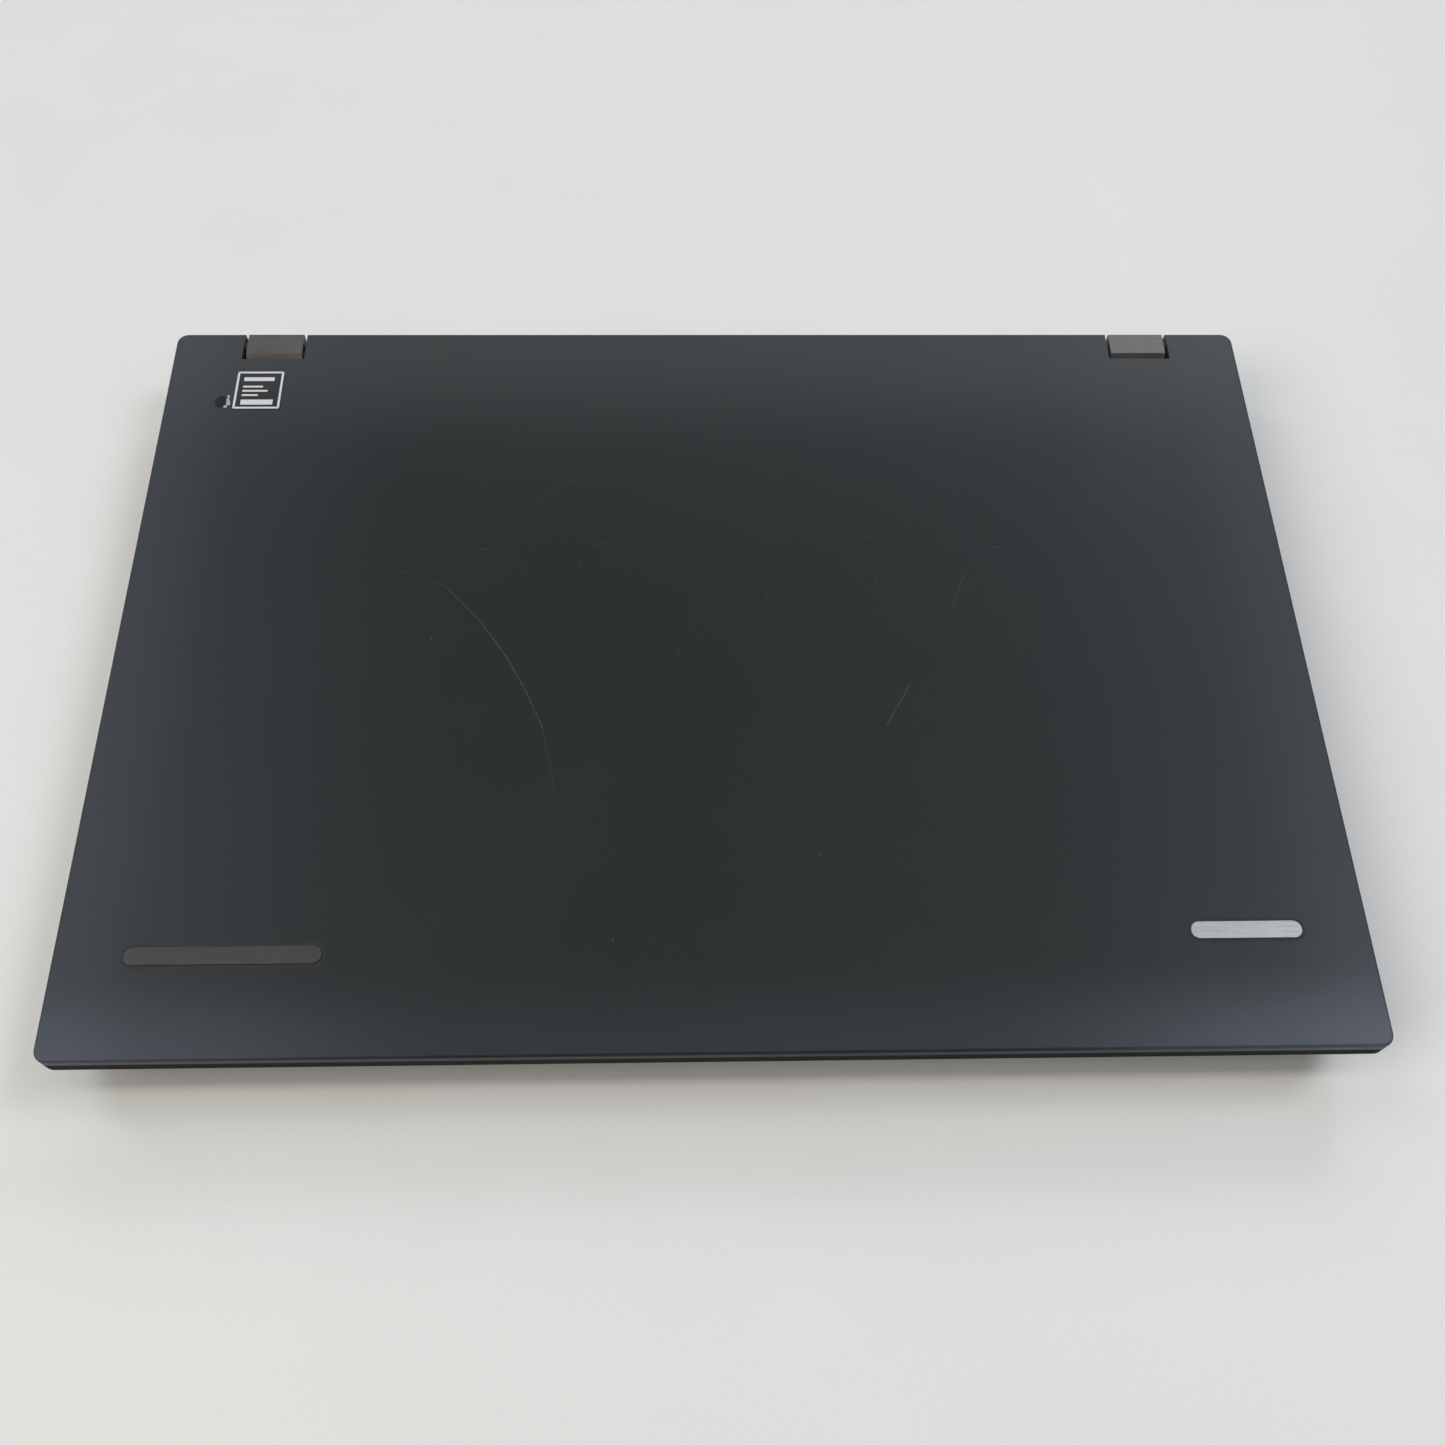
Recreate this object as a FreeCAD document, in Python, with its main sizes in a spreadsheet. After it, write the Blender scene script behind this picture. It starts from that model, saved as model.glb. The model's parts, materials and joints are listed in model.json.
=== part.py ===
import FreeCAD, Part
import math
import os
import re
import Sketcher
from FreeCAD import Vector

# A closed 14 inch business laptop that stands on its rubber feet.
# X runs from left to right as the user sees it, Y from front to rear and Z up.
# The origin is under the middle of the machine, at the surface that the feet stand on.

# Driving dimensions, in millimetres
SIZES = {
    # whole machine
    "lid_width": 339,
    "lid_depth": 235,
    "closed_height": 27,
    "corner_radius": 3.5,
    "foot_height": 1.5,
    "lid_gap": 0.8,
    "base_inset": 1.5,
    "fit_clearance": 0.2,
    "slide_clearance": 0.35,
    "running_clearance": 0.05,
    # lid shell
    "lid_thickness": 7,
    "lid_wall": 1.6,
    "lid_skin": 1.5,
    "lid_edge_radius": 1,
    "notch_wall": 1.4,
    # screen side of the lid
    "bezel_thickness": 1,
    "bezel_side": 14.3,
    "bezel_rear": 39.5,
    "bezel_front": 20.6,
    "panel_side_lap": 5,
    "panel_rear_lap": 9.5,
    "panel_thickness": 3.5,
    "panel_front_lap": 3.6,
    "camera_set_back": 10.5,
    "camera_radius": 3,
    "camera_board_width": 60,
    "camera_board_depth": 7,
    "camera_board_thickness": 1.2,
    "lens_recess": 0.2,
    "bumper_width": 12,
    "bumper_depth": 3,
    "bumper_height": 0.6,
    "bumper_inset": 3.2,
    # hinges
    "hinge_inset": 31.3,
    "notch_width": 19.6,
    "notch_depth": 10.6,
    "block_width": 17.6,
    "block_depth": 9.9,
    "block_overhang": 0.3,
    "block_drop": 0.2,
    "block_bevel": 2.2,
    "block_foot_depth": 15.3,
    "block_foot_thickness": 2,
    "block_seat_drop": 6.2,
    "block_shoulder_drop": 1.8,
    "axis_set_back": 3.5,
    "axis_drop": 3.5,
    "shaft_radius": 2.2,
    "shaft_engagement": 9.6,
    "neck_radius": 1.6,
    "lug_thickness": 2,
    "lug_reach": 4.1,
    "arm_thickness": 1.2,
    "arm_width": 5.4,
    "arm_side_gap": 1.5,
    "arm_length": 145,
    "arm_shoulder": 20,
    "washer_radius": 3.2,
    "washer_thickness": 0.8,
    # display cable
    "cable_radius": 1,
    "cable_bend": 2.5,
    "cable_slot_lip": 1.1,
    "cable_slot_inset": 3.8,
    "cable_lift": 0.4,
    "cable_lane_gap": 5.8,
    "cable_turn": 2.5,
    "lid_cable_lead": 8.4,
    "cable_end_gap": 0.2,
    # base shells
    "deck_depth": 4,
    "case_wall": 2,
    "case_floor": 1.6,
    "deck_skin": 1.5,
    "front_slope": 14,
    "slope_wall": 2.8,
    "bottom_chamfer": 1.2,
    "deck_edge": 0.6,
    "rear_bevel_depth": 6.5,
    "rear_bevel_height": 3.6,
    "rear_strip": 6.5,
    "post_radius": 3,
    "screw_radius": 1.15,
    "screw_head_radius": 2.6,
    "screw_head_height": 0.9,
    "screw_length": 7,
    "front_post_inset": 39.5,
    "front_post_set_back": 31.5,
    "rear_post_inset": 50,
    "rear_post_set_back": 10.5,
    "foot_length": 24,
    "foot_depth": 8,
    "foot_inset": 33.5,
    "front_foot_set_back": 23.5,
    "rear_foot_set_back": 12.5,
    "foot_chamfer": 0.4,
    # keyboard
    "unit_pitch": 19,
    "row_pitch": 18.6,
    "function_pitch": 12.8,
    "key_gap": 3,
    "key_corner": 1.2,
    "key_draft": 9,
    "key_height": 2.4,
    "key_sink": 0.3,
    "keyboard_side": 5.5,
    "keyboard_depth": 110,
    "keyboard_set_back": 21.5,
    "keyboard_margin": 2,
    "frame_thickness": 1.6,
    "frame_rim": 1.5,
    "frame_sink": 2.2,
    "plate_thickness": 0.5,
    "plate_drop": 0.7,
    "ledge_thickness": 0.8,
    "ledge_width": 3,
    "tray_wall": 1.5,
    "stick_radius": 3.6,
    "stick_post_radius": 1,
    "stick_height": 0.3,
    "stick_cap_height": 2.2,
    "stick_round": 0.8,
    # touchpad and power button
    "pad_width": 100,
    "pad_gap": 8,
    "pad_set_back": 20.5,
    "pad_thickness": 2.6,
    "pad_sink": 0.2,
    "bracket_thickness": 0.8,
    "bracket_rim": 5,
    "bracket_drop": 2.3,
    "button_radius": 4.7,
    "button_height": 2.8,
    "button_inset": 71.5,
    "button_set_back": 14,
    # boards
    "board_thickness": 1.2,
    "socket_width": 6,
    "socket_depth": 8,
    "board_drop": 7.2,
    "board_gap": 4,
    "board_set_back": 43.5,
    "drive_gap": 2.5,
    "bay_gap": 2.15,
    "fan_gap": 1.5,
    "boss_radius": 2.5,
    "boss_edge": 6,
    "boss_left_inset": 18,
    "boss_front_inset": 8,
    "boss_fan_inset": 12,
    # cooling
    "chip_inset": 94,
    "chip_set_back": 21,
    "chip_width": 31,
    "chip_depth": 24,
    "chip_height": 0.8,
    "cold_plate_width": 40,
    "cold_plate_height": 0.8,
    "pipe_width": 8,
    "pipe_height": 2.3,
    "fan_inset": 18,
    "fan_width": 43,
    "fan_depth": 46,
    "fan_set_back": 27.5,
    "fan_drop": 2.2,
    "fan_wall": 1,
    "fan_inlet_radius": 15,
    "rotor_radius": 18,
    "rotor_hub_radius": 7.5,
    "blade_thickness": 1,
    "spindle_radius": 1.4,
    "fin_inset": 2.5,
    "fin_width": 13.5,
    "fin_pitch": 2.6,
    "fin_thickness": 0.6,
    "vent_slot_width": 2.4,
    "vent_pitch": 4.6,
    "vent_slot_height": 7,
    "vent_base": 4.2,
    "intake_length": 34,
    "intake_width": 3,
    "intake_pitch": 6,
    # drives and memory
    "storage_width": 100,
    "storage_depth": 70,
    "storage_height": 7,
    "storage_gap": 4.5,
    "storage_set_back": 20.5,
    "plug_width": 30,
    "plug_depth": 4,
    "plug_height": 3,
    "plug_lift": 2,
    "plug_inset": 20,
    "optical_width": 127,
    "optical_inset": 4.5,
    "optical_set_back": 45.5,
    "optical_depth": 127,
    "optical_drop": 2.1,
    "optical_wall": 0.8,
    "tray_height": 5.4,
    "tray_side_gap": 0.7,
    "tray_lift": 0.5,
    "disc_radius": 60.5,
    "disc_well": 1.6,
    "eject_width": 9,
    "eject_height": 3,
    "eject_depth": 1.8,
    "eject_pocket": 3,
    "eject_set_back": 20,
    "hub_radius": 13,
    "hub_boss_radius": 7.4,
    "hub_height": 1.2,
    "hub_pit": 1.5,
    "hub_pin_radius": 1.4,
    "hub_boss_height": 1.8,
    "sled_length": 18,
    "sled_width": 22,
    "sled_slot_length": 42,
    "sled_slot_gap": 3,
    "memory_width": 67.6,
    "memory_depth": 30,
    "memory_socket_depth": 7,
    "memory_chip_depth": 14,
    "memory_inset": 86,
    "memory_set_back": 63,
    "door_side_margin": 6,
    "door_front_margin": 9,
    "door_rear_margin": 14,
    "door_thickness": 1,
    "door_ledge": 2,
    # battery
    "battery_inset": 69.5,
    "battery_depth": 54,
    "battery_drop": 2.4,
    "rail_height": 2,
    "rail_depth": 1.8,
    "rail_base": 6.5,
    "bay_clearance": 0.35,
    "bay_wall": 1.5,
    "blade_pitch": 6,
    "blade_length": 5,
    "blade_width": 1,
    "blade_height": 2.4,
    "blade_lift": 0.4,
    "connector_inset": 34,
    "connector_width": 42,
    "connector_depth": 10,
    "connector_height": 3.8,
    "latch_inset": 20.5,
    "latch_length": 9,
    "latch_width": 8,
    "latch_thickness": 1.6,
    "latch_travel": 5,
    "latch_neck": 4,
    "latch_knob": 0.7,
    "latch_pocket": 3.4,
    # openings in the side walls
    "usb_width": 13.2,
    "usb_height": 5.8,
    "usb_depth": 18,
    "shell_wall": 0.5,
    "tongue_thickness": 1.8,
    "port_drop": 5.7,
    "usb_pitch": 20,
    "usb_gap": 27.5,
    "usb_right_gap": 19,
    "video_gap": 30.5,
    "video_flange_width": 31,
    "video_flange_height": 11,
    "video_flange_thickness": 1,
    "video_shell_width": 17,
    "video_shell_height": 8.4,
    "video_slant": 1,
    "video_screw_spacing": 25,
    "video_screw_radius": 2.4,
    "card_gap": 25,
    "card_width": 26,
    "card_depth": 28,
    "card_height": 3,
    "network_set_back": 31.5,
    "network_width": 16,
    "network_height": 10.9,
    "network_depth": 18,
    "network_opening_width": 11.7,
    "network_opening_height": 8,
    "network_opening_depth": 13,
    "audio_set_back": 29.5,
    "audio_radius": 1.8,
    "audio_depth": 14,
    "audio_body_width": 8,
    "audio_body_height": 7,
    "audio_body_depth": 15,
    "audio_bush_radius": 3,
    "lock_set_back": 11,
    "lock_width": 7,
    "lock_height": 3,
    "lock_z": 8,
    "power_inset": 10,
    "power_width": 13,
    "power_depth": 14,
    "power_height": 10,
    "power_radius": 3.7,
    "power_pin_radius": 0.8,
    "small_board_width": 17,
    "small_board_depth": 20.5,
    # speakers and wireless card
    "speaker_inset": 72.5,
    "speaker_set_back": 30.5,
    "speaker_width": 50,
    "speaker_depth": 17,
    "speaker_height": 6,
    "grille_slot_width": 2,
    "grille_slot_length": 8,
    "grille_pitch": 4,
    "radio_inset": 28,
    "radio_set_back": 24,
    "radio_width": 22,
    "radio_depth": 30,
    "radio_height": 1,
    "radio_socket": 1.4,
}

# Places and lengths that follow from the driving dimensions
PLACES = {
    # shells
    "half_width": "lid_width / 2",
    "half_depth": "lid_depth / 2",
    "lid_floor": "closed_height - lid_thickness",
    "lid_ceiling": "closed_height - lid_skin",
    "bezel_back": "lid_floor + bezel_thickness",
    "deck": "lid_floor - lid_gap",
    "deck_under": "deck - deck_skin",
    "parting_height": "deck - deck_depth",
    "case_x": "half_width - base_inset",
    "case_y": "half_depth - base_inset",
    "case_corner": "corner_radius - base_inset",
    "inner_x": "case_x - case_wall",
    "inner_y": "case_y - case_wall",
    "floor_top": "foot_height + case_floor",
    "slope_run": "front_slope * (parting_height - floor_top) / (parting_height - foot_height)",
    "front_post_x": "half_width - front_post_inset",
    "front_post_y": "half_depth - front_post_set_back",
    "rear_post_x": "half_width - rear_post_inset",
    "rear_post_y": "half_depth - rear_post_set_back",
    "foot_x": "half_width - foot_inset",
    "front_foot_y": "half_depth - front_foot_set_back",
    "rear_foot_y": "half_depth - rear_foot_set_back",
    # screen
    "window_x": "half_width - bezel_side",
    "window_front": "bezel_front - half_depth",
    "window_rear": "half_depth - bezel_rear",
    "panel_x": "window_x + panel_side_lap",
    "panel_front": "window_front - panel_front_lap",
    "panel_rear": "window_rear + panel_rear_lap",
    # hinges
    "hinge_x": "half_width - hinge_inset",
    "axis_y": "half_depth - axis_set_back",
    "axis_z": "closed_height - axis_drop",
    "notch_inner": "hinge_x - notch_width / 2",
    "notch_outer": "hinge_x + notch_width / 2",
    "notch_front": "half_depth - notch_depth",
    "block_inner": "hinge_x - block_width / 2",
    "block_outer": "hinge_x + block_width / 2",
    "block_rear": "half_depth - block_overhang",
    "block_front": "block_rear - block_depth",
    "block_top": "closed_height - block_drop",
    "block_base": "parting_height - block_seat_drop",
    "block_shoulder": "parting_height - block_shoulder_drop",
    "block_foot_top": "block_base + block_foot_thickness",
    "lug_inner": "notch_outer + notch_wall + fit_clearance",
    "lug_outer": "lug_inner + lug_thickness",
    "arm_outer": "half_width - lid_wall - arm_side_gap",
    "arm_inner": "arm_outer - arm_width",
    "arm_rear": "half_depth - lid_wall - fit_clearance",
    "arm_front": "half_depth - arm_length",
    "bore_radius": "shaft_radius + running_clearance",
    "cable_lane": "block_front - cable_lane_gap",
    # keyboard, touchpad and power button
    "frame_top": "deck - frame_sink",
    "frame_under": "frame_top - frame_thickness",
    "plate_top": "frame_under - plate_drop",
    "plate_under": "plate_top - plate_thickness",
    "ledge_under": "plate_under - ledge_thickness",
    "keyboard_width": "15 * unit_pitch + 2 * keyboard_side",
    "keyboard_y": "half_depth - keyboard_set_back",
    "keyboard_front": "keyboard_depth - keyboard_y",
    "first_key_x": "-15 * unit_pitch / 2",
    "first_key_y": "keyboard_margin - keyboard_front",
    "key_top": "deck - key_sink",
    "key_base": "key_top - key_height",
    "pad_front": "pad_set_back - half_depth",
    "pad_depth": "half_depth - pad_set_back - keyboard_front - pad_gap",
    "pad_top": "deck - pad_sink",
    "bracket_top": "deck_under - bracket_drop",
    "button_x": "half_width - button_inset",
    "button_y": "half_depth - button_set_back",
    # battery
    "battery_x": "half_width - battery_inset",
    "battery_front": "case_y - battery_depth",
    "battery_top": "parting_height - battery_drop",
    "bay_x": "battery_x + bay_clearance",
    "bay_front": "battery_front - bay_clearance",
    "bay_top": "battery_top + bay_clearance",
    "connector_x": "board_right - connector_inset",
    "latch_y": "half_depth - latch_inset",
    "latch_start": "bay_x + bay_wall + slide_clearance",
    "latch_base": "floor_top + fit_clearance",
    # drives
    "optical_right": "case_x - optical_inset",
    "optical_left": "optical_right - optical_width",
    "optical_front": "half_depth - optical_set_back",
    "optical_rear": "optical_depth - optical_front",
    "optical_top": "parting_height - optical_drop",
    "optical_x": "(optical_left + optical_right) / 2",
    "optical_y": "(optical_rear - optical_front) / 2",
    "tray_base": "floor_top + optical_wall + tray_lift",
    "tray_top": "tray_base + tray_height",
    "well_floor": "tray_top - disc_well",
    "storage_left": "storage_width + storage_gap - optical_left",
    "storage_front": "half_depth - storage_set_back",
    # fan, boards and what they carry
    "fan_left": "case_x - fan_inset",
    "fan_right": "fan_left - fan_width",
    "fan_rear": "half_depth - fan_set_back",
    "fan_front": "fan_rear - fan_depth",
    "fan_x": "(fan_left + fan_right) / 2",
    "fan_y": "(fan_front + fan_rear) / 2",
    "fan_top": "parting_height - fan_drop",
    "fin_left": "case_x - fin_inset",
    "fin_right": "fin_left - fin_width",
    "pipe_end_x": "(fin_left + fin_right) / 2",
    "board_height": "parting_height - board_drop",
    "board_top": "board_height + board_thickness",
    "board_left": "fan_left",
    "board_front": "half_depth - board_set_back",
    "board_step_x": "storage_left + board_gap",
    "board_step_y": "storage_front - storage_depth - board_gap",
    "board_right": "optical_left - drive_gap",
    "board_rear": "bay_front - bay_wall - bay_gap",
    "fan_corner_x": "fan_right - fan_gap",
    "fan_corner_y": "fan_front - fan_gap",
    "chip_x": "chip_inset - board_right",
    "chip_y": "board_rear - chip_set_back",
    "chip_top": "board_top + chip_height",
    "pipe_base": "chip_top + cold_plate_height",
    "memory_left": "memory_inset - board_right",
    "memory_front": "memory_set_back - board_rear",
    "door_left": "memory_left + door_side_margin",
    "door_right": "memory_width - memory_left + door_side_margin",
    "door_front": "memory_front + door_front_margin",
    "door_rear": "memory_socket_depth + memory_depth - memory_front + door_rear_margin",
    "radio_x": "board_step_x + radio_inset",
    "radio_y": "board_front - radio_set_back",
    "speaker_x": "half_width - speaker_inset",
    "speaker_y": "half_depth - speaker_set_back",
    # sockets
    "port_height": "parting_height - port_drop",
    "video_y": "fan_front - video_gap",
    "usb_middle_y": "usb_gap - video_y",
    "usb_front_y": "usb_middle_y + usb_pitch",
    "card_y": "usb_front_y + card_gap",
    "network_y": "half_depth - network_set_back",
    "usb_right_y": "network_y - usb_right_gap",
    "lock_y": "half_depth - lock_set_back",
    "power_x": "case_x - power_inset",
    "small_board_top": "floor_top + board_thickness",
    "audio_y": "half_depth - audio_set_back",
    "audio_z": "small_board_top + audio_body_height / 2",
}

doc = FreeCAD.newDocument("Laptop")
sheet = doc.addObject("Spreadsheet::Sheet", "Sizes")
for row, (alias, size) in enumerate(SIZES.items(), start=1):
    sheet.set(f"A{row}", alias.replace("_", " "))
    sheet.set(f"B{row}", str(size))
    sheet.setAlias(f"B{row}", alias)
doc.recompute()


def formula(text):
    """Spell a length out in the cells of the sheet."""
    def spell(match):
        word = match.group(0)
        if word in PLACES:
            return "(" + formula(PLACES[word]) + ")"
        return "Sizes." + word
    return re.sub(r"[a-z_]+", spell, str(text))


def number(text):
    """The present value of a length, in millimetres."""
    value = sheet.evalExpression(formula(text))
    return float(getattr(value, "Value", value))


def box(left, right, low, high):
    """A rectangle, as the corners of a closed outline."""
    return [(left, low), (right, low), (right, high), (left, high)]


def span(middle, width):
    """The two ends of a width about its middle."""
    return f"({middle}) - ({width}) / 2", f"({middle}) + ({width}) / 2"


def ring(across, up, radius):
    """A circle."""
    return ("circle", across, up, radius)


def mirrored(side, low, high):
    """An X range on the right side, or its mirror image on the left."""
    if side > 0:
        return low, high
    return f"-({high})", f"-({low})"


PIECES = []


def blank_named(name):
    """A body that only serves to make a piece."""
    body = doc.addObject("PartDesign::Body", name)
    body.Label = name
    return body


def body_named(name):
    body = blank_named(name)
    PIECES.append(body)
    return body


def carve(name, blank, tools):
    """A piece made from a blank by taking the tools away from it."""
    together = doc.addObject("Part::Compound", name + "_tools")
    together.Links = tools
    piece = doc.addObject("Part::Cut", name)
    piece.Label = name
    piece.Base = blank
    piece.Tool = together
    doc.recompute()
    if piece.Shape.Volume > blank.Shape.Volume - 0.001:
        raise ValueError(f"no opening reaches {name}")
    PIECES.append(piece)


def origin_part(body, role):
    return next(item for item in body.Origin.OriginFeatures if item.Role == role)


def bind(sketch, kind, item, point, text):
    """Tie one coordinate of a sketch point to the sheet."""
    place = sketch.addConstraint(Sketcher.Constraint(kind, -1, 1, item, point, number(text)))
    sketch.setExpression(f"Constraints[{place}]", formula(text))


def draw_circle(sketch, across, up, radius):
    centre = Vector(number(across), number(up), 0)
    item = sketch.addGeometry(Part.Circle(centre, Vector(0, 0, 1), number(radius)))
    bind(sketch, "DistanceX", item, 3, across)
    bind(sketch, "DistanceY", item, 3, up)
    size = sketch.addConstraint(Sketcher.Constraint("Radius", item, number(radius)))
    sketch.setExpression(f"Constraints[{size}]", formula(radius))


def sign(value):
    return (value > 1e-6) - (value < -1e-6)


def with_arcs(corners):
    """The points of an outline, where a corner that has a radius becomes the ends of its arc."""
    spots = [Vector(number(corner[0]), number(corner[1]), 0) for corner in corners]
    points = []
    for place, corner in enumerate(corners):
        if len(corner) == 2:
            points.append((*corner, None))
            continue
        across, up, radius = corner
        for other, size in ((place - 1, radius), ((place + 1) % len(corners), None)):
            toward = spots[other] - spots[place]
            end_across = f"({across}) + {sign(toward.x)} * ({radius})"
            end_up = f"({up}) + {sign(toward.y)} * ({radius})"
            points.append((end_across, end_up, size))
    return points


def quarter(start, end, radius, corner_on_left):
    """The geometry of a quarter circle between two points, and which of its ends comes first."""
    half = (end - start) / 2
    aside = Vector(-half.y, half.x, 0)
    centre = start + half + (aside if corner_on_left else Vector() - aside)
    circle = Part.Circle(centre, Vector(0, 0, 1), radius)
    first, last = (start, end) if corner_on_left else (end, start)
    arc = Part.ArcOfCircle(circle, circle.parameter(first), circle.parameter(last))
    return arc, (1, 2) if corner_on_left else (2, 1)


def turns_left(corners, place):
    spots = [Vector(number(corner[0]), number(corner[1]), 0) for corner in corners]
    before = spots[place] - spots[place - 1]
    after = spots[(place + 1) % len(spots)] - spots[place]
    return before.cross(after).z > 0


def draw_outline(sketch, corners):
    """A closed outline of straight sides and quarter circles, each point tied to the sheet."""
    lefts = [turns_left(corners, place) for place, corner in enumerate(corners) if len(corner) == 3]
    points = with_arcs(corners)
    spots = [Vector(number(across), number(up), 0) for across, up, radius in points]
    first = sketch.GeometryCount
    count = len(points)
    ends = []
    for place, (across, up, radius) in enumerate(points):
        after = spots[(place + 1) % count]
        if radius:
            arc, order = quarter(spots[place], after, number(radius), lefts.pop(0))
            sketch.addGeometry(arc)
        else:
            sketch.addGeometry(Part.LineSegment(spots[place], after))
            order = (1, 2)
        ends.append(order)
    for place in range(count):
        following = (place + 1) % count
        tail = (first + place, ends[place][1])
        head = (first + following, ends[following][0])
        sketch.addConstraint(Sketcher.Constraint("Coincident", *tail, *head))
    for place, (across, up, radius) in enumerate(points):
        bind(sketch, "DistanceX", first + place, ends[place][0], across)
        bind(sketch, "DistanceY", first + place, ends[place][0], up)
        if radius:
            size = sketch.addConstraint(Sketcher.Constraint("Radius", first + place, number(radius)))
            sketch.setExpression(f"Constraints[{size}]", formula(radius))


def sketch_on(body, plane, level, loops):
    """A sketch across the X, Y or Z axis, at a level along that axis."""
    sketch = body.newObject("Sketcher::SketchObject", body.Label + "_sketch")
    sketch.AttachmentSupport = [(origin_part(body, plane + "_Plane"), "")]
    sketch.MapMode = "FlatFace"
    turn = "-" if plane == "XZ" else ""
    sketch.setExpression("AttachmentOffset.Base.z", f"{turn}({formula(level)})")
    for loop in loops:
        if loop[0] == "circle":
            draw_circle(sketch, *loop[1:])
        else:
            draw_outline(sketch, loop)
    return sketch


def settle(feature):
    """Work a feature out and stop if it failed."""
    doc.recompute()
    if "Invalid" in feature.State or "Error" in feature.State:
        raise ValueError(f"{feature.Label} failed")
    return feature


def add(body, plane, loops, low, high, draft=None):
    """Material between two levels along the axis that the plane faces."""
    pad = body.newObject("PartDesign::Pad", body.Label + "_pad")
    pad.Profile = sketch_on(body, plane, low, loops)
    pad.setExpression("Length", formula(f"({high}) - ({low})"))
    pad.Reversed = plane == "XZ"
    if draft:
        pad.setExpression("TaperAngle", formula(f"-({draft})"))
    return settle(pad)


def cut(body, plane, loops, low, high):
    """A cut between two levels, which has to take something away."""
    before = body.Shape.Volume
    pocket = body.newObject("PartDesign::Pocket", body.Label + "_pocket")
    pocket.Profile = sketch_on(body, plane, low, loops)
    pocket.setExpression("Length", formula(f"({high}) - ({low})"))
    pocket.Reversed = plane != "XZ"
    settle(pocket)
    if body.Shape.Volume > before - 0.001:
        raise ValueError(f"a cut in {body.Label} misses it")
    return pocket


def repeat(body, feature, axis, count, step):
    """The same feature again at equal steps along an axis."""
    pattern = body.newObject("PartDesign::LinearPattern", body.Label + "_row")
    pattern.Originals = [feature]
    pattern.Direction = (origin_part(body, axis + "_Axis"), [""])
    pattern.setExpression("Length", formula(f"{count - 1} * ({step})"))
    pattern.Occurrences = count
    body.Tip = pattern
    return settle(pattern)


def around(body, feature, count):
    """The same feature again at equal angles about the Z axis."""
    pattern = body.newObject("PartDesign::PolarPattern", body.Label + "_wheel")
    pattern.Originals = [feature]
    pattern.Axis = (origin_part(body, "Z_Axis"), [""])
    pattern.Angle = 360
    pattern.Occurrences = count
    body.Tip = pattern
    return settle(pattern)


def dress(body, kind, size_name, size, chosen):
    """A fillet or chamfer on the edges that a test on their ends chooses."""
    base = body.Tip
    names = []
    for place, edge in enumerate(base.Shape.Edges, start=1):
        ends = [vertex.Point for vertex in edge.Vertexes]
        if chosen(ends):
            names.append(f"Edge{place}")
    if not names:
        raise ValueError(f"no edge to round on {body.Label}")
    feature = body.newObject("PartDesign::" + kind, body.Label + "_" + kind.lower())
    feature.Base = (base, names)
    feature.setExpression(size_name, formula(size))
    return settle(feature)


def fillet(body, radius, chosen):
    return dress(body, "Fillet", "Radius", radius, chosen)


def chamfer(body, size, chosen):
    return dress(body, "Chamfer", "Size", size, chosen)


def near(one, other):
    return abs(one - other) < 1e-4


def upright_corner(x, y):
    """A test for the upright edges at the four corners of a rectangle."""
    across = number(x)
    deep = number(y)

    def chosen(ends):
        upright = near(ends[0].x, ends[-1].x) and near(ends[0].y, ends[-1].y)
        return upright and near(abs(ends[0].x), across) and near(abs(ends[0].y), deep)
    return chosen


def tube(name, points):
    """A round cable along straight runs joined by arcs."""
    corners = [Vector(*[number(place) for place in point]) for point in points]
    bend = number("cable_bend")
    radius = number("cable_radius")
    edges = []
    start = corners[0]
    for before, corner, after in zip(corners, corners[1:], corners[2:]):
        back = (before - corner).normalize()
        ahead = (after - corner).normalize()
        half_turn = (math.pi - back.getAngle(ahead)) / 2
        setback = bend * math.tan(half_turn)
        enter = corner + back * setback
        leave = corner + ahead * setback
        inward = (back + ahead).normalize()
        middle = corner + inward * (math.hypot(setback, bend) - bend)
        edges.append(Part.LineSegment(start, enter).toShape())
        edges.append(Part.Arc(enter, middle, leave).toShape())
        start = leave
    edges.append(Part.LineSegment(start, corners[-1]).toShape())
    path = Part.Wire(edges)
    heading = corners[1] - corners[0]
    section = Part.Wire(Part.Circle(corners[0], heading, radius).toShape())
    cable = doc.addObject("Part::Feature", name)
    cable.Label = name
    PIECES.append(cable)
    cable.Shape = path.makePipeShell([section], True, False)
    cable.Placement = FreeCAD.Placement()
    swept = math.pi * radius ** 2 * path.Length
    if abs(cable.Shape.Volume - swept) > 0.01 * swept:
        raise ValueError(f"{name} is not a plain tube")


# Lid
def inside_lid(gap):
    """The inside of the lid round the hinge notches, drawn in by a gap."""
    side = f"(half_width - lid_wall - {gap})"
    end = f"(half_depth - lid_wall - {gap})"
    corner = f"corner_radius - lid_wall - {gap}"
    inner = f"(notch_inner - notch_wall - {gap})"
    outer = f"(notch_outer + notch_wall + {gap})"
    step = f"(notch_front - notch_wall - {gap})"
    return [
        ("-" + side, "-" + end, corner),
        (side, "-" + end, corner),
        (side, end, corner),
        (outer, end),
        (outer, step),
        (inner, step),
        (inner, end),
        ("-" + inner, end),
        ("-" + inner, step),
        ("-" + outer, step),
        ("-" + outer, end),
        ("-" + side, end, corner),
    ]


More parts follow.
